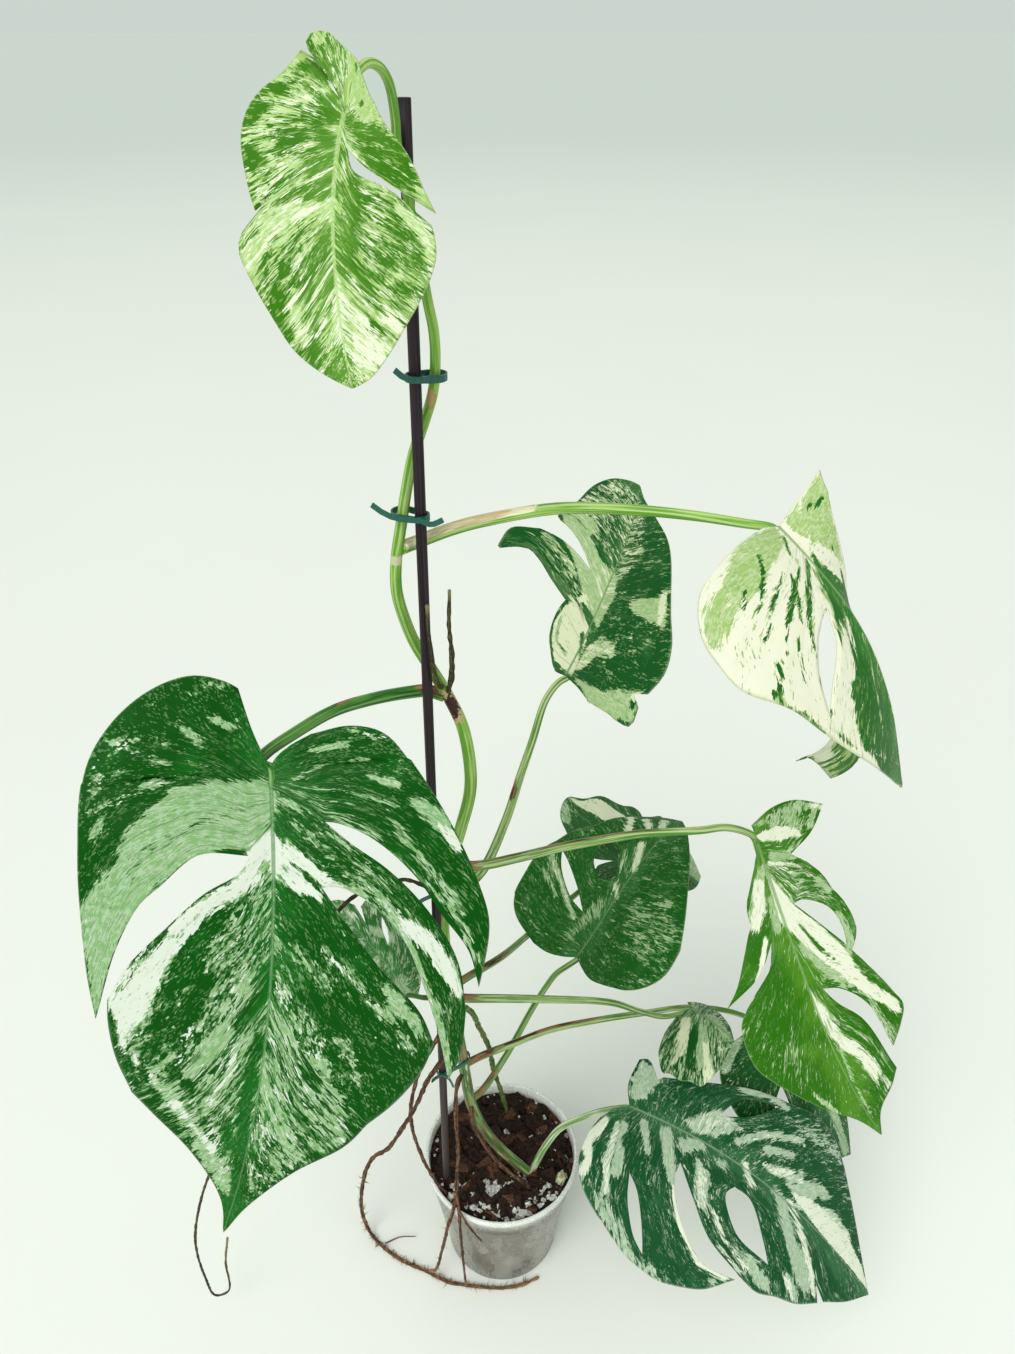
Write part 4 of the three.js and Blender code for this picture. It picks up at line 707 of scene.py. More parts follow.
def stroke_weight(points, soft, flat):
    """1 inside a stroke and 0 outside: an area for plain points, a line for points with a reach."""
    points = np.array(points, float)
    gap = np.full(len(flat), 1e9)
    inside = np.zeros(len(flat), bool)
    area = points.shape[1] == 2
    follow = np.roll(points, -1, axis=0) if area else (points[1:] if len(points) > 1 else points)
    for a, b in zip(points, follow):
        d = b[:2] - a[:2]
        t = np.clip(((flat - a[:2]) @ d) / max(1e-9, d @ d), 0, 1)
        away = np.linalg.norm(flat - (a[:2] + t[:, None] * d), axis=1)
        gap = np.minimum(gap, away if area else away - lerp(a[2], b[2], t))
        if area and a[1] != b[1]:
            crossing = a[0] + (flat[:, 1] - a[1]) * d[0] / d[1]
            inside ^= ((a[1] > flat[:, 1]) != (b[1] > flat[:, 1])) & (flat[:, 0] < crossing)
    if area:
        gap = np.where(inside, -gap, gap)
    return 1 - smoothstep(-soft, soft, gap)


def paint_fields(paint, leaf, surface, flat):
    """Amounts of cream and pale green at each flat point, from strokes laid one over another."""
    seen = seen_points(leaf, surface)
    cream = np.full(len(flat), paint["base"][0], float)
    pale = np.full(len(flat), paint["base"][1], float)
    for to_cream, to_pale, soft, points, *half in paint["strokes"]:
        where = [seen[HALVES.index(half[0])]] if half else seen
        weight = stroke_weight([lay_down(point, where) for point in points], soft, flat)
        cream, pale = lerp(cream, to_cream, weight), lerp(pale, to_pale, weight)
    return cream, pale


def blade_sheet(leaf, seed):
    """A flat blade as cells between its edges: its points as (x, y, lift, pucker, rim), its faces,
    and the vein coordinates of each face's corners."""
    ts = np.linspace(0, 1, ROWS + 1) ** ROW_CROWDING
    keys, points, faces, corners = {}, [], [], []

    def vertex(x, y, lift, hand, puff, rim):
        """The vertex there, which neighbouring patches share."""
        key = (round(x * 40), round(y * 40), 0 if abs(x) < 0.02 else hand + 1, round(lift * 10))
        if key not in keys:
            keys[key] = len(points)
            points.append((x, y, lift, puff, rim))
        return keys[key]

    chain = [0.0]
    marks = sorted({y for name in HALVES for y in edge_starts(leaf[name], leaf["length"])})
    for a, b in zip(marks, marks[1:]):
        parts = max(1, math.ceil((b - a) / MIDRIB_STEP))
        chain += [lerp(a, b, (k + 1) / parts) for k in range(parts)]
    chain_ids = [vertex(0.0, y, 0.0, 0, 0.0, 0.0) for y in chain]

    for patch in patches(leaf, ts, lambda width: int(np.clip(round(width / COLUMN), 4, 70))):
        us, hand, low, high = patch["us"], patch["hand"], patch["low"], patch["high"]
        veins = max(1, round(patch["width"] / VEIN_SPACING))
        offset = 400.0 * hand + 1000.0 * seed

        def coord(v, u):
            """Along and across the veins in mm, and the gap to the nearest vein."""
            gap = abs((u * veins) % 1 - 0.5) / veins * lerp(high - low, patch["width"], v)
            return (offset + u * lerp(high - low, patch["width"], 0.6), v * patch["reach"], gap)

        ids = np.zeros((ROWS + 1, len(us)), int)
        for r in range(1, ROWS + 1):
            for c, u in enumerate(us):
                puff = (0.5 + 0.5 * math.cos(2 * math.pi * u * veins)) * 4 * ts[r] * (1 - ts[r])
                ids[r, c] = vertex(*patch["grid"][r, c], patch["lift"][r, c], hand, puff, ts[r])
        inside = [k for k, y in enumerate(chain) if low - 1e-6 <= y <= high + 1e-6]
        near_u = [(chain[k] - low) / max(1e-6, high - low) for k in inside]
        found, picks = zip_rows([chain_ids[k] for k in inside], near_u, list(ids[1]), list(us))
        cells = [(face, [coord(ts[r], u) for r, u in pick]) for face, pick in zip(found, picks)]
        for r in range(1, ROWS):
            for c in range(len(us) - 1):
                ring = ((r, c), (r + 1, c), (r + 1, c + 1), (r, c + 1))
                cells.append(([ids[k] for k in ring], [coord(ts[i], us[j]) for i, j in ring]))
        for face, where in cells:
            keep = [k for k in range(len(face)) if face[k] not in face[:k]]
            if hand:
                keep.reverse()
            if len(keep) > 2:
                faces.append(tuple(face[k] for k in keep))
                corners.append([where[k] for k in keep])

    return np.array(points), faces, corners


def rim_faces(faces, corners, count):
    """Faces round the margin between a sheet and its copy, whose vertices come count later, and the
    vein coordinates of their corners."""
    open_edges = {}
    for face, where in zip(faces, corners):
        for k in range(len(face)):
            n = (k + 1) % len(face)
            if (face[n], face[k]) in open_edges:
                del open_edges[(face[n], face[k])]
            else:
                open_edges[(face[k], face[n])] = (where[k], where[n])
    made = [(b, a, a + count, b + count) for a, b in open_edges]
    return made, [at for at_a, at_b in open_edges.values() for at in (at_b, at_a, at_a, at_b)]


def blade(data, leaf, paint, seed):
    """Adds a leaf's blade: its sheet bent, given thickness and painted. Returns its surface."""
    points, faces, corners = blade_sheet(leaf, seed)
    x, y, lift, puff, rim = points.T
    flat = np.stack([x, y], 1)
    surface = Surface(leaf)
    place = surface(x, y, lift + PUCKER * puff)
    normal = np.zeros_like(place)
    for face in faces:
        across = np.cross(place[face[1]] - place[face[0]], place[face[2]] - place[face[0]])
        for k in face:
            normal[k] += across
    normal /= np.maximum(1e-9, np.linalg.norm(normal, axis=1))[:, None]
    t = np.clip(y / leaf["length"], 0, 1)
    small = min(1, leaf["length"] / 200 + 0.3)
    ridge = np.exp(-(x / RIDGE_WIDTH) ** 2) * (y >= 0) * lerp(0.5, 0.12, t)
    keel = np.exp(-(x / KEEL_WIDTH) ** 2) * (y >= 0) * lerp(1.5, 0.3, t) * small
    top = place + normal * (BLADE_HALF + ridge)[:, None]
    bottom = place - normal * (BLADE_HALF + keel)[:, None]

    count = len(place)
    rim_made, rim_corners = rim_faces(faces, corners, count)
    all_faces = faces + [tuple(k + count for k in face[::-1]) for face in faces] + rim_made
    all_corners = [c for where in corners for c in where] + [c for where in corners for c in where[::-1]]
    all_corners += rim_corners
    cream, pale = paint_fields(paint, leaf, surface, flat)
    under = np.r_[np.zeros(count), np.ones(count)]
    data.add(np.vstack([top, bottom]), all_faces, point={
        "paint": np.stack([np.tile(cream, 2), np.tile(pale, 2), under], 1),
        "flat": np.tile(np.stack([x, y, rim], 1), (2, 1)),
    }, corner={"vein": np.array(all_corners)})
    return surface


# Stems, petioles and roots

def tube(data, points, radii, sides=14, spacing=3.0, slot=0, shape=None, dried=()):
    """A round stem along a smooth centre line. shape(fraction, mm, angle) scales its radius, and
    dried lists stretches as (from fraction, to fraction, amount, lowest lean), where the lean is 1
    on the upper side and -1 underneath."""
    total = line_length(points)
    steps = max(6, round(total / spacing))
    centre, total = spread(points, np.linspace(0, 1, steps + 1))
    along = np.linspace(0, total, steps + 1)
    tangent = np.gradient(centre, axis=0)
    tangent /= np.linalg.norm(tangent, axis=1)[:, None]
    out = np.cross(tangent[0], [0.3, 0.2, 0.93])
    out /= np.linalg.norm(out)
    verts, where, extra = [], [], []
    for i in range(steps + 1):
        out = out - tangent[i] * np.dot(out, tangent[i])
        out /= np.linalg.norm(out)
        side = np.cross(tangent[i], out)
        radius = float(station(radii, i / steps))
        for k in range(sides):
            angle = 2 * math.pi * k / sides
            r = radius * (shape(i / steps, along[i], angle) if shape else 1.0)
            away = math.cos(angle) * out + math.sin(angle) * side
            verts.append(centre[i] + r * away)
            where.append((radius * math.cos(angle), radius * math.sin(angle), along[i]))
            dry = 0.0
            for start, end, amount, lean in dried:
                inside = smoothstep(start - 0.03, start + 0.02, i / steps)
                inside *= 1 - smoothstep(end - 0.04, end + 0.06, i / steps)
                dry = max(dry, float(amount * inside * smoothstep(lean - 0.15, lean + 0.15, away[2])))
            extra.append((dry, i / steps, away[2]))
    faces = []
    for i in range(steps):
        for k in range(sides):
            n = (k + 1) % sides
            faces.append((i * sides + k, i * sides + n, (i + 1) * sides + n, (i + 1) * sides + k))
    faces.append(tuple(range(sides))[::-1])
    faces.append(tuple(steps * sides + k for k in range(sides)))
    data.add(verts, faces, point={"tube": where, "age": extra}, slot=slot)


def bumps(seed, amount, spacing):
    """A radius that swells and thins along a stem."""
    rng = np.random.default_rng(seed)
    knots = 1 + amount * (rng.random(400) - 0.5)
    tilt = rng.random(400) * 6.28

    def shape(fraction, mm, angle):
        k = mm / spacing
        i = int(k) % 398
        f = k - int(k)
        f = f * f * (3 - 2 * f)
        side = 1 + 0.25 * amount * math.sin(angle + lerp(tilt[i], tilt[i + 1], f))
        return lerp(knots[i], knots[i + 1], f) * side
    return shape


# Materials

class Nodes:
    """Short ways to add and join the nodes of one material."""

    def __init__(self, name):
        self.material = bpy.data.materials.new(name)
        self.material.use_nodes = True
        self.tree = self.material.node_tree
        self.shader = self.tree.nodes["Principled BSDF"]

    def put(self, socket, value):
        if isinstance(value, bpy.types.NodeSocket):
            self.tree.links.new(value, socket)
        elif socket.type == "RGBA" and len(value) == 3:
            socket.default_value = (*value, 1)
        else:
            socket.default_value = value

    def add(self, kind, **settings):
        node = self.tree.nodes.new(kind)
        for key, value in settings.items():
            setattr(node, key, value)
        return node

    def math(self, operation, *values, clamp=False):
        node = self.add("ShaderNodeMath", operation=operation, use_clamp=clamp)
        for socket, value in zip(node.inputs, values):
            self.put(socket, value)
        return node.outputs[0]

    def weigh(self, start, *pairs):
        """start plus the sum of value times weight, each value centred on 0.5."""
        total = start
        for value, weight in pairs:
            total = self.math("MULTIPLY_ADD", value, weight, self.math("ADD", total, -0.5 * weight))
        return total

    def step(self, value, low, high):
        node = self.add("ShaderNodeMapRange", interpolation_type="SMOOTHSTEP")
        for i, v in enumerate((value, low, high, 0.0, 1.0)):
            self.put(node.inputs[i], v)
        return node.outputs[0]

    def mix(self, factor, a, b, blend="MIX"):
        node = self.add("ShaderNodeMix", data_type="RGBA", blend_type=blend)
        self.put(node.inputs[0], factor)
        self.put(node.inputs[6], a)
        self.put(node.inputs[7], b)
        return node.outputs[2]

    def fall(self, value, low, high):
        """1 up to low, 0 from high."""
        return self.math("SUBTRACT", 1.0, self.step(value, low, high))

    def over(self, colour, layer, mask, amount):
        """The layer laid over the colour by an amount, where the mask is 1."""
        return self.mix(self.math("MULTIPLY", mask, amount), colour, layer)

    def place(self):
        """Object coordinates, in metres."""
        return self.add("ShaderNodeTexCoord").outputs["Object"]

    def attribute(self, name):
        return self.add("ShaderNodeAttribute", attribute_name=name).outputs["Vector"]

    def split(self, vector):
        node = self.add("ShaderNodeSeparateXYZ")
        self.put(node.inputs[0], vector)
        return node.outputs

    def scale(self, vector, x, y, z):
        node = self.add("ShaderNodeVectorMath", operation="MULTIPLY")
        self.put(node.inputs[0], vector)
        node.inputs[1].default_value = (x, y, z)
        return node.outputs[0]

    def shift(self, vector, by, amount):
        node = self.add("ShaderNodeVectorMath", operation="MULTIPLY_ADD")
        self.put(node.inputs[0], by)
        node.inputs[1].default_value = (amount, amount, amount)
        self.put(node.inputs[2], vector)
        return node.outputs[0]

    def noise(self, vector, detail=2.0, rough=0.5, scale=1.0):
        node = self.add("ShaderNodeTexNoise")
        self.put(node.inputs["Vector"], vector)
        for key, value in (("Scale", scale), ("Detail", detail), ("Roughness", rough)):
            node.inputs[key].default_value = value
        return node.outputs

    def cells(self, vector, scale=1.0, random=1.0):
        node = self.add("ShaderNodeTexVoronoi")
        self.put(node.inputs["Vector"], vector)
        node.inputs["Scale"].default_value = scale
        node.inputs["Randomness"].default_value = random
        return node.outputs

    def spot(self, centre, reach, ragged=0.25):
        """Distance from a mark's centre in units of its reach, a little ragged. Both in mm."""
        place = self.place()
        away = self.add("ShaderNodeVectorMath", operation="SUBTRACT")
        self.put(away.inputs[0], place)
        away.inputs[1].default_value = [c * MM for c in centre]
        size = self.add("ShaderNodeVectorMath", operation="LENGTH")
        self.put(size.inputs[0], self.scale(away.outputs[0], *[1 / (r * MM) for r in reach]))
        return self.weigh(size.outputs["Value"], (self.noise(place, scale=600)["Fac"], ragged * 4))

    def bump(self, height, distance, strength=1.0):
        node = self.add("ShaderNodeBump")
        node.inputs["Strength"].default_value = strength
        node.inputs["Distance"].default_value = distance
        self.put(node.inputs["Height"], height)
        self.tree.links.new(node.outputs[0], self.shader.inputs["Normal"])

    def finish(self, colour, rough, **values):
        self.put(self.shader.inputs["Base Color"], colour)
        self.put(self.shader.inputs["Roughness"], rough)
        for key, value in values.items():
            self.put(self.shader.inputs[key.replace("_", " ")], value)
        return self.material


UNDERSIDE = (0.26, 0.42, 0.18)
DARK_BARK = ((0.05, 0.02, 0.012), (0.3, 0.16, 0.08))


def leaf_material(name, length, tones, streak=(1.5, 5.0), ribs=(0.3, 0.75), flecks=0.1):
    """Variegated blade: deep green, its greyer veil, pale green and cream in jagged patches that
    follow the side veins, where the painted fields call for them. streak is the width and length in
    mm of a jagged cell, ribs says how pale the midrib and its groove are, flecks how many there are."""
    deep, veil, pale, cream = tones
    n = Nodes(name)
    vein = n.attribute("vein")
    gap = n.split(vein)[2]
    cream_field, pale_field, under = n.split(n.attribute("paint"))
    flat = n.attribute("flat")
    x, y, rim = n.split(flat)
    wobble = n.noise(n.scale(vein, 0.22, 0.11, 0), detail=3)["Color"]

    def jagged(across, along):
        """Three random numbers for each cell of a jagged net."""
        return n.split(n.cells(n.shift(n.scale(vein, across, along, 0), wobble, 1.6))["Color"])

    cell_a, cell_b, cell_c = jagged(1 / streak[0], 1 / streak[1])
    small_a, small_b, small_c = jagged(2.6 / streak[0], 2.2 / streak[1])
    long_noise = n.noise(n.scale(vein, 1 / 6, 1 / 24, 0), detail=4, rough=0.65)["Fac"]
    pale_noise = n.noise(n.scale(vein, 1 / 7, 1 / 22, 0), detail=4, rough=0.65, scale=1.31)["Fac"]
    cream_level = n.weigh(cream_field, (cell_a, 0.4), (small_a, 0.32), (long_noise, 1.3))
    pale_level = n.weigh(pale_field, (cell_b, 0.4), (small_b, 0.32), (pale_noise, 1.3))
    tint = n.noise(n.scale(flat, 1 / 26, 1 / 26, 0), detail=2)["Fac"]
    near_rib = n.fall(n.math("ABSOLUTE", x), 0.0, 26.0)
    green = n.mix(n.step(n.weigh(tint, (small_c, 0.12), (near_rib, 0.3)), 0.38, 0.72), deep, veil)
    tiny = n.split(n.cells(n.scale(vein, 1 / 0.55, 1 / 1.9, 0))["Color"])
    fleck_limit = n.math("MULTIPLY_ADD", pale_field, -0.35, 1.1 - flecks)
    fleck = n.math("GREATER_THAN", n.weigh(tiny[0], (pale_noise, 0.9)), fleck_limit)
    half_tone = n.mix(0.45, green, pale)
    mottle = n.noise(n.scale(flat, 1 / 4.5, 1 / 4.5, 0), detail=4, rough=0.7)["Fac"]
    shade = n.step(n.weigh(mottle, (small_b, 0.3), (tiny[1], 0.12)), 0.44, 0.6)
    pale = n.over(pale, cream, shade, 0.36)
    cream = n.over(cream, n.mix(0.35, cream, pale), n.step(pale_noise, 0.5, 0.66), 0.5)
    colour = n.over(green, half_tone, fleck, 0.75)
    colour = n.mix(n.step(n.weigh(pale_level, (cell_c, 0.2)), 0.42, 0.44), colour, half_tone)
    colour = n.mix(n.step(pale_level, 0.5, 0.52), colour, pale)
    colour = n.mix(n.step(cream_level, 0.47, 0.49), colour, n.mix(0.35, cream, pale))
    colour = n.mix(n.step(cream_level, 0.51, 0.53), colour, cream)
    island = n.math("GREATER_THAN", n.weigh(tiny[2], (small_a, 0.3), (pale_noise, 0.9)), 1.02)
    colour = n.over(colour, half_tone, island, 0.7)

    # Midrib, side veins, fine veins and the pale margin
    forward = n.math("GREATER_THAN", y, 0.0)
    half_rib = n.math("MULTIPLY_ADD", y, -1.0 / length, 1.45)
    rib_reach = n.math("DIVIDE", n.math("ABSOLUTE", x), half_rib)
    rib = n.math("MULTIPLY", n.fall(rib_reach, 0.7, 1.1), forward)
    groove = n.math("MULTIPLY", n.fall(rib_reach, 0.12, 0.4), forward)
    fade = n.math("SUBTRACT", 1.0, n.math("POWER", rim, 2.0), clamp=True)
    side_vein = n.math("MULTIPLY", n.fall(gap, 0.1, 0.5), fade)
    fine_line = n.noise(n.scale(vein, 1 / 0.9, 1 / 60, 0), detail=1)["Fac"]
    fine_vein = n.math("MULTIPLY", n.step(fine_line, 0.6, 0.68), n.math("MULTIPLY", fade, fade))
    vein_colour = n.mix(0.5, veil, pale)
    colour = n.over(colour, vein_colour, fine_vein, 0.14)
    colour = n.over(colour, vein_colour, side_vein, 0.3)
    colour = n.over(colour, n.mix(ribs[0], veil, pale), rib, 0.72)
    colour = n.over(colour, n.mix(ribs[1], veil, pale), groove, 0.5)
    colour = n.over(colour, pale, n.step(rim, 0.985, 1.0), 0.4)
    colour = n.over(colour, UNDERSIDE, under, 0.18)
    skin = n.noise(n.scale(flat, 2.4, 2.4, 0), detail=2)["Fac"]
    rough = n.math("MULTIPLY_ADD", skin, 0.12, n.math("MULTIPLY_ADD", under, 0.15, 0.36))
    height = n.math("MULTIPLY_ADD", side_vein, -0.7, n.math("MULTIPLY", skin, 0.16))
    n.bump(height, 0.0005, 0.8)
    return n.finish(colour, rough, Specular_IOR_Level=0.07)


def stalk_material(name, green, light, stripe, stripes, bark=DARK_BARK, marks=()):
    """Petiole or stem: green with paler lengthwise stripes, dried where its age says so. marks lists
    scars as (centre, reach, rim colour, core colour)."""
    n = Nodes(name)
    tube_at = n.attribute("tube")
    age = n.split(n.attribute("age"))[0]
    lines = n.noise(n.scale(tube_at, 0.8, 0.8, 0.01), detail=2, rough=0.6)["Fac"]
    blotch = n.noise(n.scale(tube_at, 0.3, 0.3, 0.03), detail=2)["Fac"]
    fine = n.noise(n.scale(tube_at, 2.4, 2.4, 0.06), detail=3, rough=0.7)["Fac"]
    colour = n.mix(n.step(n.weigh(blotch, (lines, 0.8), (fine, 0.3)), 0.4, 0.6), green, light)
    colour = n.over(colour, stripe, n.step(n.weigh(lines, (fine, 0.25)), 0.53, 0.59), stripes)
    dry_cell = n.split(n.cells(n.scale(tube_at, 0.5, 0.5, 0.09))["Color"])[0]
    dry = n.step(n.weigh(age, (dry_cell, 0.3), (lines, 0.9)), 0.42, 0.56)
    skin = n.mix(n.step(n.weigh(blotch, (fine, 0.8), (dry_cell, 0.3)), 0.36, 0.6), bark[0], bark[1])
    colour = n.mix(dry, colour, skin)
    for centre, reach, rim, core in marks:
        far = n.spot(centre, reach)
        colour = n.mix(n.fall(far, 0.9, 1.1), colour, rim)
        colour = n.mix(n.fall(far, 0.62, 0.78), colour, core)
    n.bump(n.math("ADD", lines, n.math("MULTIPLY", dry, 0.5)), 0.0006, 0.7)
    return n.finish(colour, n.math("MULTIPLY_ADD", dry, 0.3, 0.38), Specular_IOR_Level=0.25)


def root_material(name, dark, light, tip):
    """Ringed and scaly bark, with another colour at the root's tip."""
    n = Nodes(name)
    tube_at = n.attribute("tube")
    fraction = n.split(n.attribute("age"))[1]
    rings = n.noise(n.scale(tube_at, 0.5, 0.5, 0.35), detail=3, rough=0.7)["Fac"]
    lines = n.noise(n.scale(tube_at, 1.6, 1.6, 0.05), detail=2)["Fac"]
    scaly = n.cells(n.scale(tube_at, 0.7, 0.7, 0.3))["Distance"]
    colour = n.mix(n.step(n.weigh(rings, (lines, 0.9)), 0.4, 0.66), dark, light)
    colour = n.mix(n.step(fraction, 0.9, 0.99), colour, tip)
    n.bump(n.math("ADD", rings, scaly), 0.0008, 0.9)
    return n.finish(colour, 0.85, Specular_IOR_Level=0.2)


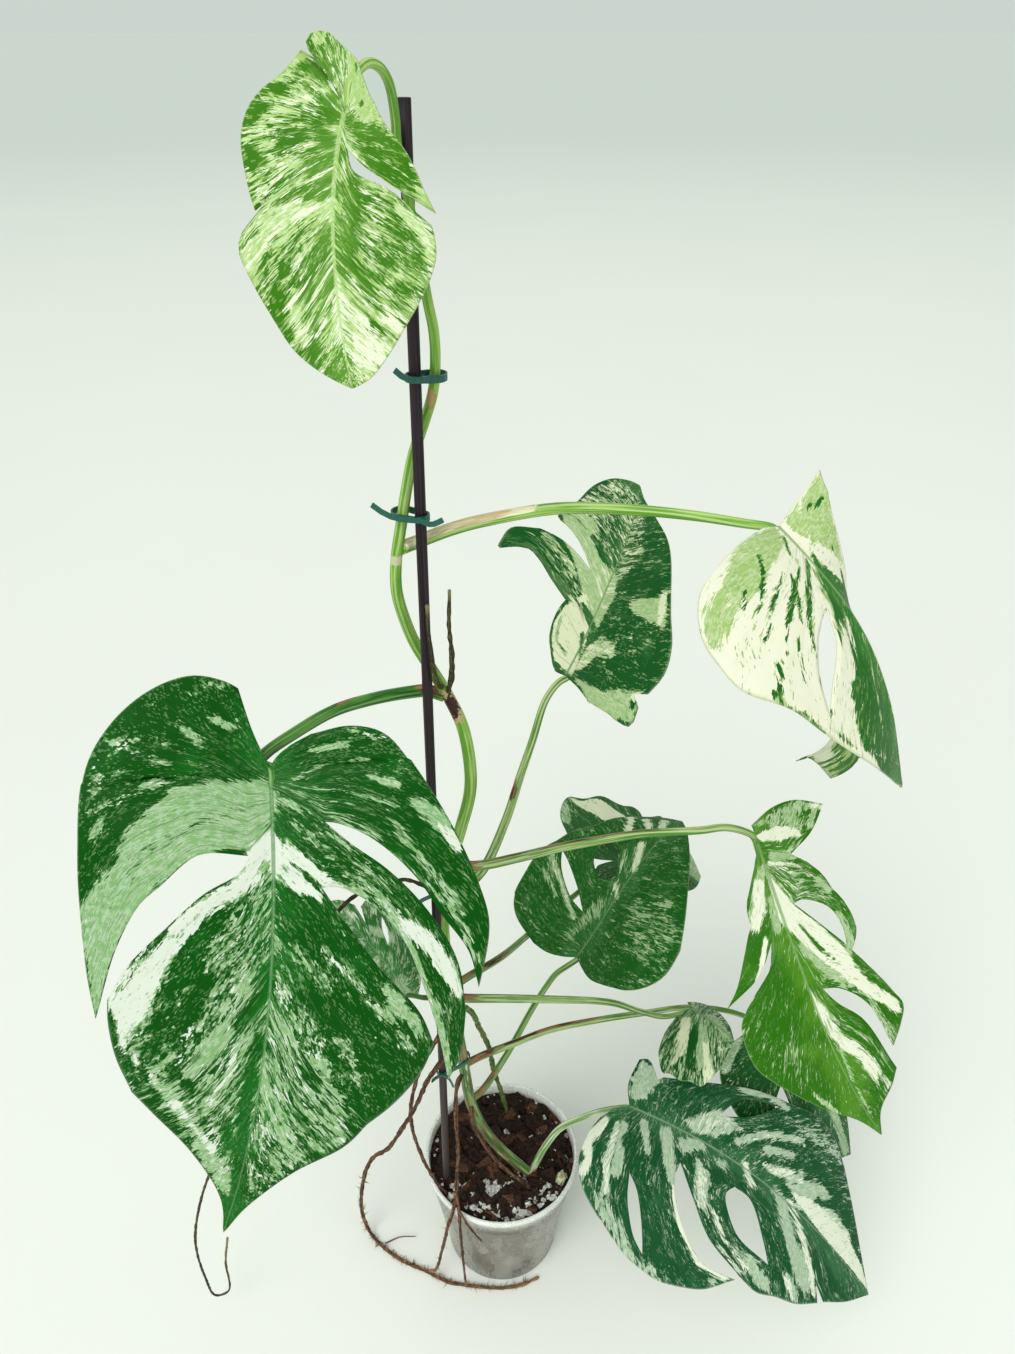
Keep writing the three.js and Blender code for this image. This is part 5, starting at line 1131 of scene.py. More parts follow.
# Colours of each blade: how much cream and how much pale green there is at the base, then strokes
# over it, each with its own two amounts, its softness in mm and its points, placed in the photo's
# pixels. Points of two numbers bound an area; points of three follow a line, and the third is
# its reach. A stroke that ends with a half of the blade stays on that half.
PAINT = dict(
    leaf_left_large=dict(base=(0.03, 0.1), strokes=[
        (0.08, 0.95, 3, [(278, 792), (262, 779), (215, 781), (172, 790), (150, 812), (122, 836), (118, 860),
            (95, 885), (76, 905), (78, 945), (88, 1000), (96, 1022), (106, 985), (116, 960), (136, 925),
            (158, 893), (190, 868), (225, 848), (250, 845), (262, 838), (276, 815)]),
        (0.4, 0.55, 3, [(112, 803, 3.5), (150, 785, 4), (185, 777, 3)]),
        (0.25, 0.7, 2, [(92, 838, 4), (100, 820, 4)]),
        (0.15, 0.4, 4, [(96, 775, 7), (88, 812, 6)]),
        (0.15, 0.85, 1.5, [(176, 722, 3), (200, 742, 3)]),
        (0.15, 0.85, 1.5, [(216, 719, 4), (232, 728, 4)]),
        (0.1, 0.8, 1.5, [(112, 743, 2.5), (136, 738, 2.5)]),
        (0.1, 0.8, 1.5, [(110, 755, 2), (126, 750, 2)]),
        (0.15, 0.6, 2, [(150, 760, 3), (172, 763, 3)]),
        (0.1, 0.45, 3, [(200, 682, 5), (220, 685, 4)]),
        (0, 0.6, 5, [(262, 800, 5), (200, 820, 5), (150, 850, 5), (112, 892, 4)]),
        (1, 0.9, 2, [(250, 845), (272, 828), (282, 850), (284, 876), (262, 882), (232, 900), (200, 925),
            (168, 962), (150, 1002), (140, 1030), (122, 1048), (116, 1020), (106, 1000), (112, 978),
            (140, 945), (185, 908), (225, 885), (246, 868)]),
        (0.3, 0.25, 2, [(120, 990, 3.5), (150, 952, 3), (190, 922, 3), (228, 902, 2.5)]),
        (0.25, 0.3, 1.5, [(205, 893, 2.5), (238, 878, 3)]),
        (0.15, 0.5, 3, [(262, 866, 5), (270, 885, 6), (250, 893, 5)]),
        (0.22, 0.44, 5, [(275, 893), (240, 905), (200, 945), (165, 990), (130, 1035), (118, 1055),
            (150, 1095), (200, 1155), (235, 1195), (240, 1225), (250, 1192), (320, 1172), (352, 1142),
            (345, 1100), (330, 1050), (300, 1000), (285, 950)]),
        (0.05, 0.16, 4, [(200, 945, 8), (168, 1000, 8), (152, 1050, 7)]),
        (0.05, 0.22, 3, [(130, 1045, 6), (140, 1075, 7), (165, 1110, 5)]),
        (0.25, 0.8, 3, [(225, 1030, 6), (190, 1070, 7), (165, 1105, 5)]),
        (0.2, 0.7, 3, [(250, 975, 5), (225, 1005, 6)]),
        (0.25, 0.85, 3, [(200, 1142, 9), (226, 1185, 8)]),
        (0.3, 0.85, 2.5, [(262, 1058, 4), (270, 1100, 5), (286, 1150, 4)]),
        (0.3, 0.7, 2.5, [(315, 1050, 3), (335, 1100, 4), (342, 1140, 4)]),
        (0, 0.04, 2, [(259, 1035, 4), (250, 1080, 6), (242, 1130, 6), (240, 1190, 7), (236, 1222, 6)]),
        (0.02, 0.07, 4, [(285, 893), (330, 902), (362, 945), (398, 990), (432, 1040), (426, 1062),
            (400, 1092), (366, 1118), (352, 1060), (322, 1000), (290, 940)]),
        (0.45, 0.6, 2.5, [(325, 952, 4), (360, 985, 4), (388, 1022, 4)]),
        (0.15, 0.5, 3, [(300, 950, 8), (330, 985, 8)]),
        (0.1, 0.85, 2, [(392, 1000, 4), (422, 1036, 4)]),
        (0.2, 0.5, 2.5, [(385, 1015, 6), (412, 1052, 6)]),
        (0.95, 0.8, 2, [(286, 840), (318, 866), (342, 890), (352, 905), (322, 902), (300, 892),
            (286, 886)]),
        (0, 0.1, 1.5, [(292, 858, 2.5), (315, 885, 3.5), (337, 902, 3)]),
        (0.1, 0.8, 1.5, [(284, 800, 2.5), (312, 818, 2)]),
        (0.05, 0.4, 3, [(285, 785, 5), (330, 812, 6), (380, 838, 5)]),
        (0.1, 0.9, 2, [(408, 795), (440, 808), (456, 826), (440, 832), (420, 816)]),
        (1, 0.9, 1.5, [(436, 820), (455, 830), (463, 850), (454, 850), (444, 836)]),
        (0.12, 0.5, 3, [(400, 830, 4), (430, 865, 6), (462, 915, 6), (478, 960, 4)]),
        (0.1, 0.85, 1.5, [(312, 750, 2.5), (346, 744, 3)]),
        (0.3, 0.6, 1.5, [(346, 730, 2.5), (388, 740, 2.5)]),
        (0.1, 0.85, 1.5, [(370, 778, 2), (397, 784, 4)]),
        (0.12, 0.35, 4, [(305, 825, 8), (345, 850, 9), (385, 890, 9), (402, 920, 8)]),
        (0.35, 0.6, 2, [(355, 875, 3), (385, 905, 4), (405, 930, 4)]),
        (1, 0.9, 2, [(404, 925, 6), (426, 938, 7), (448, 968, 7), (458, 992, 4)]),
        (0.08, 0.3, 3, [(440, 1000, 8), (450, 1050, 8)]),
        (0.25, 0.9, 2, [(352, 888, 4), (395, 945, 4), (425, 1000, 4), (443, 1078, 4)]),
        (0, 0, 3, [(206, 980, 9), (192, 1012, 9), (172, 1042, 6)]),
        (0.08, 0.4, 4, [(340, 1040, 6), (356, 1068, 9), (368, 1092, 8)]),
        (0.15, 0.85, 2, [(388, 988, 5), (404, 1006, 6), (418, 1030, 4)]),
        (0, 0.55, 1, [(296, 778, 0.9), (330, 762, 0.9), (372, 758, 0.7)]),
        (0, 0.55, 1, [(300, 790, 0.9), (345, 790, 0.9), (398, 805, 0.7)]),
        (0, 0.55, 1, [(296, 806, 0.9), (340, 832, 0.9), (400, 860, 0.9), (448, 905, 0.7)]),
        (0, 0.5, 1, [(292, 822, 0.9), (330, 860, 0.9), (380, 905, 0.9)]),
        (0.6, 0.8, 1.5, [(150, 1075, 3), (180, 1110, 3.5), (215, 1150, 3)]),
        (0.7, 0.8, 1.5, [(122, 1040, 2.5), (140, 1062, 3)]),
        (0.55, 0.8, 1.5, [(236, 1050, 3), (222, 1085, 3.5), (205, 1110, 3)]),
        (0, 0.02, 2, [(190, 1085, 5), (176, 1072, 5)]),
        (0, 0.02, 2, [(225, 1120, 5), (230, 1145, 5)]),
        (0, 0.05, 2, [(275, 960, 5), (262, 1000, 6), (240, 1020, 5)]),
    ]),
    leaf_top=dict(base=(0.29, 0.46), strokes=[
        (0.1, 1, 2, [(308, 42, 5), (292, 60, 5), (268, 86, 3)]),
        (0.08, 0.12, 3, [(305, 66, 9), (328, 72, 8)]),
        (0.1, 0.2, 4, [(252, 115, 9), (264, 95, 8), (290, 85, 5)]),
        (0.5, 0.6, 2, [(335, 88, 3), (290, 103, 4), (262, 122, 3)]),
        (0.08, 0.25, 4, [(328, 100, 8), (332, 122, 10)]),
        (0, 0.05, 2, [(284, 142, 7), (304, 138, 6)]),
        (0.55, 0.6, 2, [(335, 130, 3), (300, 150, 5), (275, 175, 7), (262, 197, 7)]),
        (0.1, 0.2, 3, [(250, 155, 7), (266, 172, 8)]),
        (0.12, 0.15, 3, [(338, 155, 6), (312, 166, 6)]),
        (0.15, 0.25, 3, [(336, 195, 8), (305, 198, 7)]),
        (0.5, 0.9, 3, [(336, 206, 5), (300, 212, 7), (270, 228, 8), (250, 250, 8), (248, 268, 6)]),
        (0.2, 0.28, 4, [(330, 235, 7), (318, 262, 8)]),
        (0.15, 0.22, 5, [(285, 275, 13), (268, 300, 11), (298, 330, 12), (315, 352, 10)]),
        (0.4, 0.6, 3, [(325, 300, 5), (328, 340, 6)]),
        (0.06, 0.2, 4, [(352, 175, 6), (356, 220, 11), (350, 262, 10), (372, 285, 9)]),
        (0.12, 0.3, 5, [(395, 230, 13), (412, 262, 13), (405, 292, 11)]),
        (0.62, 0.7, 3, [(338, 284), (350, 300), (372, 318), (398, 345), (386, 362), (372, 382), (354, 372),
            (340, 350), (334, 312)]),
        (0.85, 0.8, 2, [(384, 316, 4), (398, 330, 5)]),
        (0.1, 0.1, 2, [(372, 325, 2.5), (392, 345, 2.5)]),
        (0.1, 0.3, 2, [(345, 355, 2.5), (360, 378, 3)]),
        (0.15, 0.3, 3, [(315, 362, 8), (342, 379, 5)]),
        (0.5, 0.9, 2, [(402, 210, 4), (425, 235, 4), (433, 262, 3)]),
        (0.06, 0.25, 2, [(347, 112), (380, 120), (402, 152), (422, 182), (438, 213), (412, 192), (382, 176),
            (362, 158)], "left"),
        (0, 0.95, 2, [(420, 196, 5), (434, 212, 4)], "left"),
        (0.22, 1, 2, [(302, 30), (325, 26), (352, 52), (380, 92), (382, 120), (365, 122), (350, 102),
            (335, 85), (320, 60), (303, 46)], "left"),
        (0, 0, 1, [(357, 72, 3.5)], "left"),
        (0, 0.1, 1, [(364, 105, 4)], "left"),
        (0, 0.85, 2, [(306, 36, 9), (322, 32, 8)], "left"),
        (0.05, 0.2, 3, [(318, 128, 8), (326, 142, 7)]),
        (0.45, 0.75, 3, [(296, 318, 8), (304, 336, 8)]),
        (0.4, 0.6, 3, [(256, 285, 6), (262, 300, 6)]),
    ]),
    leaf_upper_back=dict(base=(0.03, 0.15), strokes=[
        (0.33, 0.35, 3, [(580, 500), (600, 485), (615, 476), (638, 495), (642, 560), (620, 582), (600, 545),
            (584, 520)]),
        (0.3, 1, 2, [(562, 512), (584, 530), (600, 560), (618, 578), (613, 600), (598, 628), (584, 600),
            (578, 570), (570, 540)]),
        (1, 0.9, 2, [(558, 606), (585, 594), (591, 620), (581, 655), (571, 676), (554, 660), (548, 630)]),
        (0, 0, 1, [(566, 602, 1.2), (551, 620, 1.4), (548, 640, 1.6), (552, 660, 1.6), (566, 673, 1.8)]),
        (0, 0.7, 1, [(560, 618, 1.5), (557, 640, 2), (566, 655, 2)]),
        (0, 0.15, 1, [(583, 605, 3), (592, 626, 3)]),
        (0, 0.2, 1, [(583, 634, 2.5), (580, 652, 2.5)]),
        (0.25, 0.9, 2, [(566, 506, 5), (580, 516, 6), (594, 532, 5)]),
        (0.1, 0.45, 2, [(600, 640, 6), (606, 660, 6)]),
        (0, 0.05, 2, [(497, 546, 8), (520, 530, 8), (540, 533, 7)]),
        (0.3, 0.5, 2, [(545, 535, 6), (564, 560, 6), (576, 592, 4)]),
        (0.15, 1, 1.5, [(630, 602), (666, 596), (667, 626), (650, 621), (636, 616)]),
        (0.9, 0.9, 1.5, [(663, 600, 4), (661, 622, 3)]),
        (0.5, 1, 1.5, [(592, 643), (618, 641), (613, 654), (596, 656), (582, 670), (574, 670)]),
        (0.1, 1, 2, [(576, 678), (600, 690), (642, 693), (633, 724), (610, 719), (590, 702)]),
        (0.9, 0.9, 1, [(636, 697, 3)]),
        (0, 0, 1, [(632, 704, 3.5)]),
        (0, 0.1, 1, [(582, 676, 2), (612, 692, 2)]),
    ]),
    leaf_right_cream=dict(base=(0.95, 0.8), strokes=[
        (0.12, 1, 3, [(774, 526), (755, 535), (735, 548), (725, 572), (712, 592), (700, 615), (703, 642),
            (716, 658), (726, 640), (737, 620), (757, 590), (777, 560), (786, 540)]),
        (0.9, 0.9, 3, [(718, 575, 8), (706, 595, 5)]),
        (0.2, 0.15, 1.5, [(783, 574, 2), (771, 608, 4), (764, 642, 3)]),
        (0.2, 0.15, 1.5, [(799, 568, 2), (791, 600, 4), (786, 642, 3)]),
        (0.15, 0.15, 1.5, [(789, 652, 2), (780, 670, 3), (779, 700, 3.5), (790, 709, 2)]),
        (0.12, 0.15, 1.5, [(807, 560, 3), (808, 600, 5), (810, 628, 3), (813, 650, 2)]),
        (0, 0.15, 1, [(783, 538, 2), (790, 557, 2.5)]),
        (0.1, 0.9, 1.5, [(797, 562, 3)]),
        (0.04, 0.1, 2, [(812, 558), (838, 580), (852, 600), (872, 640), (887, 690), (902, 750), (912, 790),
            (882, 772), (860, 742), (850, 700), (849, 650), (839, 612), (839, 672), (831, 606),
            (820, 592)]),
        (0.6, 0.5, 1, [(844, 606, 1.5), (852, 650, 1.8), (853, 705, 2)]),
        (0.25, 0.5, 1, [(862, 620, 1.5), (872, 680, 2), (882, 735, 2)]),
        (1, 1, 1, [(842, 668, 5), (844, 710, 7), (852, 745, 5)]),
        (0, 0.05, 1, [(822, 676, 1.5), (832, 718, 1.5)]),
        (0.03, 0.1, 1.5, [(812, 556, 3), (824, 582, 6), (838, 612, 6)]),
        (0.05, 0.15, 1.2, [(790, 575, 1.5), (797, 598, 2.5), (801, 622, 2)]),
        (0.85, 0.8, 1, [(818, 575, 1), (824, 592, 1.2)]),
        (0.1, 1, 2, [(783, 522), (800, 505), (821, 468), (832, 520), (842, 565), (820, 546), (800, 536)]),
        (0, 0, 1, [(808, 509, 2.5), (822, 499, 3)]),
        (0.6, 0.9, 2, [(815, 545, 4)]),
        (0, 0.2, 1, [(832, 548, 2.5)]),
        (0, 0.1, 1, [(840, 572, 3.5), (870, 625, 2)]),
        (0.03, 0.3, 2, [(856, 742, 9), (846, 756, 10), (835, 768, 9), (815, 762, 8), (800, 761, 6)],
            "left"),
        (0, 0.7, 1, [(850, 748, 1), (832, 772, 1)], "left"),
        (0.1, 0.1, 1.5, [(758, 556, 1.5), (764, 574, 3), (760, 600, 2.5), (752, 628, 2)]),
        (0.1, 0.1, 1.5, [(797, 640, 1.5), (800, 662, 3), (804, 680, 2)]),
        (0.3, 0.2, 1.5, [(745, 588, 2), (741, 612, 3)]),
        (0.25, 0.2, 1.2, [(770, 690, 2), (776, 720, 3), (784, 745, 2)]),
    ]),
    leaf_mid_back=dict(base=(0.03, 0.17), strokes=[
        (0.02, 0.12, 4, [(535, 890, 12), (545, 920, 12)]),
        (0.45, 0.9, 1.5, [(552, 857, 3), (563, 888, 3), (575, 918, 2)]),
        (0.2, 0.6, 1.5, [(545, 870, 3), (556, 895, 3)]),
        (0.9, 0.9, 1.5, [(640, 845, 3.5), (634, 870, 3)]),
        (0.4, 0.7, 1.5, [(625, 850, 2), (622, 868, 2)]),
        (0.7, 0.9, 1, [(616, 885, 2), (617, 900, 2)]),
        (0, 0.5, 3, [(570, 935, 5), (600, 905, 6)]),
        (0, 0.08, 3, [(590, 850, 7), (582, 885, 5)]),
        (1, 1, 1, [(632, 818, 3), (628, 832, 3)]),
        (1, 1, 1, [(646, 820, 3), (650, 835, 3)]),
        (0.7, 1, 1, [(664, 822, 4), (660, 835, 3)]),
        (0, 0.05, 1, [(638, 822, 2.5)]),
        (0, 0.05, 1, [(655, 822, 2.5)]),
        (0.06, 0.42, 6, [(640, 920, 20), (660, 940, 18)]),
        (0.02, 0.15, 4, [(600, 965, 12), (640, 975, 10)]),
        (0.3, 0.7, 1.5, [(668, 905, 4)]),
    ]),
    leaf_behind_mid=dict(base=(0.05, 0.2), strokes=[
        (1, 1, 1.5, [(570, 790), (592, 799), (620, 813), (628, 822), (604, 822), (586, 811)]),
        (0.05, 0.65, 2, [(562, 802, 5), (566, 820, 5)]),
        (0, 0.1, 3, [(590, 832, 8), (612, 828, 7)]),
        (0.3, 0.9, 3, [(690, 855, 12), (696, 875, 10)]),
    ]),
    leaf_right_bright=dict(base=(0.03, 0.14), strokes=[
        (0.05, 0.6, 2, [(750, 825), (780, 808), (800, 800), (828, 803), (816, 826), (800, 852), (796, 831),
            (775, 827)]),
        (0.7, 0.95, 1.5, [(820, 806, 4), (808, 805, 2)]),
        (0.1, 0.2, 1.5, [(808, 818, 3), (800, 835, 3)]),
        (1, 0.9, 1.5, [(755, 836), (775, 826), (796, 828), (802, 836), (785, 839), (763, 842)]),
        (0.15, 0.3, 1.5, [(760, 844), (799, 839), (797, 852), (770, 852)]),
        (0, 1, 1.5, [(772, 856, 4), (792, 857, 3)]),
        (0.85, 0.95, 1.5, [(764, 868, 3.5), (775, 880, 3.5), (784, 898, 3)]),
        (0.8, 0.9, 1.5, [(770, 863, 2.5), (792, 864, 2)]),
        (0.3, 0.33, 2, [(765, 866), (800, 862), (826, 880), (836, 906), (810, 901), (790, 901),
            (775, 886)]),
        (0, 1, 1.5, [(818, 880, 4), (828, 890, 3)]),
        (0, 0.8, 1.5, [(838, 915, 4), (849, 940, 4), (846, 968, 4)]),
        (1, 0.9, 1.5, [(768, 878), (780, 888), (795, 906), (820, 920), (842, 945), (862, 975), (897, 1000),
            (902, 1014), (870, 997), (842, 976), (815, 956), (795, 936), (779, 920)]),
        (0.3, 0.6, 2, [(868, 1003, 6), (895, 1042, 5)]),
        (0, 0.1, 1.5, [(886, 1008, 4), (894, 1025, 3)]),
        (0.06, 0.3, 2, [(785, 937), (815, 961), (850, 985), (862, 1002), (830, 986), (810, 976),
            (795, 961)]),
        (0, 1, 1.5, [(800, 945, 2), (822, 965, 4), (850, 987, 4)]),
        (0.15, 0.35, 2, [(808, 985, 4), (835, 1015, 5), (865, 1035, 5), (886, 1062, 4)]),
        (0.9, 0.7, 2, [(815, 1003, 3.5), (836, 1035, 6), (866, 1060, 6), (886, 1085, 5)]),
        (0, 1, 1.5, [(828, 1022, 4)]),
        (0, 0.1, 1.2, [(800, 925, 1.5), (822, 948, 2.5), (838, 962, 1.5)]),
        (0, 0.15, 1.2, [(846, 985, 2), (866, 1003, 2)]),
        (0.1, 0.4, 2, [(880, 1075, 4), (885, 1095, 4)]),
        (0, 0.85, 2, [(762, 870, 4), (756, 900, 4), (749, 925, 4)]),
        (0.95, 0.9, 1.5, [(758, 884, 5), (760, 905, 6), (756, 926, 5)]),
        (0, 1, 1.5, [(771, 900, 2.5), (778, 930, 4)]),
        (0, 0.03, 1.5, [(756, 938, 6), (749, 975, 7), (735, 1002, 5)]),
        (0.95, 0.95, 1, [(766, 940, 2.2), (763, 970, 2.2), (748, 997, 2)]),
        (0.1, 0.6, 1, [(840, 1050, 1.5), (872, 1115, 1.5)]),
        (0.2, 0.85, 1, [(812, 1092, 2), (836, 1116, 2)]),
        (0.05, 0.28, 5, [(790, 1060, 14), (800, 1080, 12)]),
    ]),
    leaf_front_low=dict(base=(0.05, 0.2), strokes=[
        (0.1, 1, 2, [(628, 1062), (645, 1062), (662, 1078), (645, 1098), (630, 1100)]),
        (0.35, 0.75, 2, [(684, 1120), (720, 1109), (742, 1130), (715, 1138), (694, 1132)]),
        (0.3, 0.8, 1.5, [(738, 1141, 4), (765, 1135, 3.5), (802, 1141, 3)]),
        (0, 1, 1.5, [(766, 1149, 3), (792, 1154, 3)]),
        (0.08, 0.5, 4, [(800, 1128, 7), (842, 1150, 9)]),
        (0.5, 0.9, 2, [(765, 1168, 4), (800, 1180, 5)]),
        (0.05, 1, 2, [(786, 1185), (820, 1184), (832, 1196), (800, 1200)]),
        (0.5, 0.9, 2, [(798, 1206, 4), (830, 1215, 6), (847, 1238, 5)]),
        (0, 0.04, 2, [(812, 1165, 7), (834, 1190, 8), (846, 1218, 5)]),
        (1, 0.95, 1.5, [(790, 1192), (812, 1200), (845, 1235), (862, 1270), (868, 1290), (850, 1268),
            (830, 1245), (812, 1222)]),
        (0.2, 1, 1.5, [(742, 1090, 3), (770, 1095, 3), (786, 1108, 3)]),
        (0.03, 0.1, 4, [(690, 1095, 14), (740, 1102, 8)]),
        (1, 1, 1.5, [(606, 1122, 4), (584, 1142, 5), (590, 1158, 4), (582, 1172, 4)]),
        (0.04, 0.2, 1.5, [(613, 1122, 4), (597, 1155, 5), (592, 1187, 5)]),
        (0.6, 0.85, 1.5, [(617, 1125, 2.5), (606, 1160, 4), (606, 1192, 3)]),
        (0.1, 1, 1.5, [(624, 1125, 3), (619, 1150, 5), (617, 1172, 5)]),
        (0.12, 0.6, 3, [(598, 1202, 8), (620, 1240, 8), (652, 1278, 8)]),
        (0.05, 0.15, 2, [(622, 1190, 4), (630, 1230, 4), (638, 1256, 3)]),
        (0.02, 0.06, 2, [(630, 1140, 8), (638, 1190, 9), (648, 1245, 13), (692, 1275, 11)]),
        (0.1, 0.95, 1.5, [(643, 1125, 4), (648, 1150, 3)]),
        (0.02, 0.1, 1.5, [(656, 1130, 4), (655, 1165, 5)]),
        (0.2, 1, 2, [(666, 1132, 6), (668, 1160, 6), (675, 1184, 3)]),
        (0.08, 0.2, 1.5, [(660, 1180, 4), (670, 1210, 4), (685, 1240, 4), (697, 1266, 4)]),
        (1, 0.9, 1.5, [(675, 1192, 3), (680, 1225, 4), (702, 1257, 5), (728, 1276, 4)]),
        (0.2, 0.6, 2, [(715, 1282, 6)]),
        (0.55, 0.95, 3, [(702, 1165, 8), (702, 1205, 6)]),
        (0.2, 1, 2, [(682, 1145, 6), (698, 1145, 5)]),
        (0, 0, 1, [(697, 1152, 2.5), (706, 1168, 2.5)]),
        (0, 0, 1, [(713, 1165, 2), (716, 1180, 2.5)]),
        (0.5, 0.8, 2, [(722, 1165, 4)]),
        (0, 0.04, 1.5, [(733, 1162, 4), (738, 1180, 6)]),
        (0.5, 0.5, 2, [(712, 1215, 7), (722, 1243, 7), (742, 1268, 7)]),
        (0, 0.1, 1, [(706, 1205, 2), (716, 1235, 2.5), (735, 1262, 2)]),
        (0.1, 0.9, 2, [(750, 1262, 6), (764, 1285, 7)]),
        (0, 0.1, 1, [(735, 1278, 3), (766, 1298, 3)]),
        (0.8, 0.9, 1.5, [(745, 1165, 3), (752, 1185, 4)]),
        (0.03, 0.12, 1.5, [(764, 1172, 5), (762, 1200, 6), (770, 1240, 6), (783, 1272, 5)]),
        (0.03, 1, 2, [(780, 1195, 5), (790, 1240, 7), (802, 1282, 9)]),
        (0.9, 0.9, 1.5, [(790, 1203, 2.5), (803, 1245, 3), (814, 1292, 4)]),
        (0.7, 0.9, 1.5, [(785, 1277, 4), (792, 1297, 4)]),
        (0.02, 0.06, 2, [(800, 1212, 3), (820, 1242, 7), (838, 1275, 12), (835, 1297, 8)]),
        (0.1, 0.9, 1, [(832, 1278, 1.5), (836, 1295, 1.5)]),
    ]),
    leaf_small_striped=dict(base=(0.2, 0.4), strokes=[
        (0.02, 0.35, 1.5, [(676, 1022, 5), (666, 1050, 6), (664, 1066, 5)]),
        (0.9, 1, 1.5, [(686, 1022, 5), (684, 1045, 5), (674, 1062, 4)]),
        (0, 0.05, 1.5, [(694, 1030, 4), (690, 1062, 5)]),
        (0.05, 1, 1.5, [(702, 1030, 4), (700, 1066, 4)]),
        (0.9, 1, 1.5, [(705, 1045, 3), (710, 1082, 4)]),
        (0.2, 0.4, 1.5, [(720, 1045, 4), (716, 1072, 3)]),
        (0.1, 1, 1.5, [(712, 1018, 6), (726, 1034, 4)]),
    ]),
    leaf_dark_behind=dict(base=(0.04, 0.2), strokes=[
        (0.3, 1, 2, [(737, 1040, 5), (724, 1068, 6)]),
        (0, 0.1, 2, [(750, 1060, 8), (760, 1080, 8)]),
        (0.15, 1, 2, [(832, 1112, 5), (846, 1150, 5)]),
        (0.02, 0.15, 2, [(810, 1105, 6)]),
    ]),
    leaf_small_behind=dict(base=(0.15, 0.36), strokes=[
        (0.1, 0.95, 2, [(372, 930, 4), (392, 938, 5)]),
        (0.6, 0.9, 1.5, [(352, 955, 5), (366, 968, 4), (378, 962, 3)]),
        (0.1, 0.9, 2, [(398, 985, 5), (415, 1000, 4)]),
        (0, 0.05, 1, [(360, 925, 2.5), (385, 915, 2.5)]),
        (0, 0.1, 1, [(365, 945, 3), (392, 950, 3)]),
        (0, 0.1, 1, [(385, 975, 2), (410, 968, 2.5)]),
        (1, 1, 1, [(352, 915, 4)]),
    ]),
)
# Deep green, veil, pale green and cream of each blade; green, light, stripe and how striped for each
# petiole; and the dried stretches of each petiole, as tube() takes them
TONES = dict(
    leaf_left_large=((0.001, 0.062, 0.0015), (0.006, 0.108, 0.008), (0.19, 0.36, 0.14), (0.6, 0.65, 0.56)),
    leaf_top=((0.035, 0.155, 0.003), (0.085, 0.235, 0.022), (0.33, 0.5, 0.15), (0.68, 0.74, 0.54)),
    leaf_right_cream=((0.009, 0.11, 0.008), (0.03, 0.165, 0.02), (0.31, 0.47, 0.145), (0.75, 0.75, 0.59)),
    leaf_right_bright=((0.02, 0.125, 0.002), (0.06, 0.2, 0.01), (0.24, 0.39, 0.16), (0.68, 0.7, 0.56)),
    leaf_front_low=((0.006, 0.07, 0.02), (0.03, 0.125, 0.045), (0.31, 0.43, 0.29), (0.68, 0.72, 0.58)),
    leaf_upper_back=((0.006, 0.078, 0.013), (0.028, 0.125, 0.03), (0.28, 0.43, 0.18), (0.64, 0.68, 0.47)),
    leaf_mid_back=((0.008, 0.09, 0.008), (0.03, 0.135, 0.03), (0.2, 0.35, 0.15), (0.62, 0.67, 0.47)),
    leaf_behind_mid=((0.02, 0.1, 0.02), (0.04, 0.15, 0.04), (0.22, 0.37, 0.18), (0.64, 0.68, 0.48)),
    leaf_small_striped=((0.006, 0.075, 0.01), (0.03, 0.14, 0.035), (0.25, 0.39, 0.2), (0.66, 0.7, 0.48)),
    leaf_dark_behind=((0.006, 0.065, 0.01), (0.02, 0.11, 0.03), (0.24, 0.37, 0.2), (0.62, 0.67, 0.5)),
    # leaf_small_behind's tones are painted lighter than its own green: painted light, for the light it lacks
    # in the shade of leaf_left_large
    leaf_small_behind=((0.02, 0.17, 0.02), (0.06, 0.26, 0.06), (0.36, 0.56, 0.28), (0.88, 0.92, 0.74)),
)
TAN = ((0.52, 0.4, 0.22), (0.7, 0.7, 0.46))
OLIVE = ((0.05, 0.16, 0.02), (0.15, 0.3, 0.07), (0.42, 0.5, 0.25), 0.5)
STRIPED = ((0.08, 0.22, 0.03), (0.26, 0.39, 0.12), (0.52, 0.58, 0.32), 0.75)
FRESH = ((0.11, 0.29, 0.02), (0.26, 0.45, 0.085), (0.52, 0.63, 0.3), 0.6)
STALKS = dict(
    leaf_left_large=((0.02, 0.12, 0.012), (0.07, 0.24, 0.03), (0.3, 0.45, 0.18), 0.5),
    leaf_right_cream=FRESH, leaf_top=FRESH, leaf_right_bright=STRIPED, leaf_upper_back=STRIPED,
    leaf_front_low=((0.12, 0.26, 0.08), (0.42, 0.53, 0.32), (0.74, 0.76, 0.58), 0.9),
    leaf_mid_back=OLIVE, leaf_behind_mid=OLIVE, leaf_small_striped=STRIPED, leaf_dark_behind=STRIPED,
    leaf_small_behind=OLIVE,
)
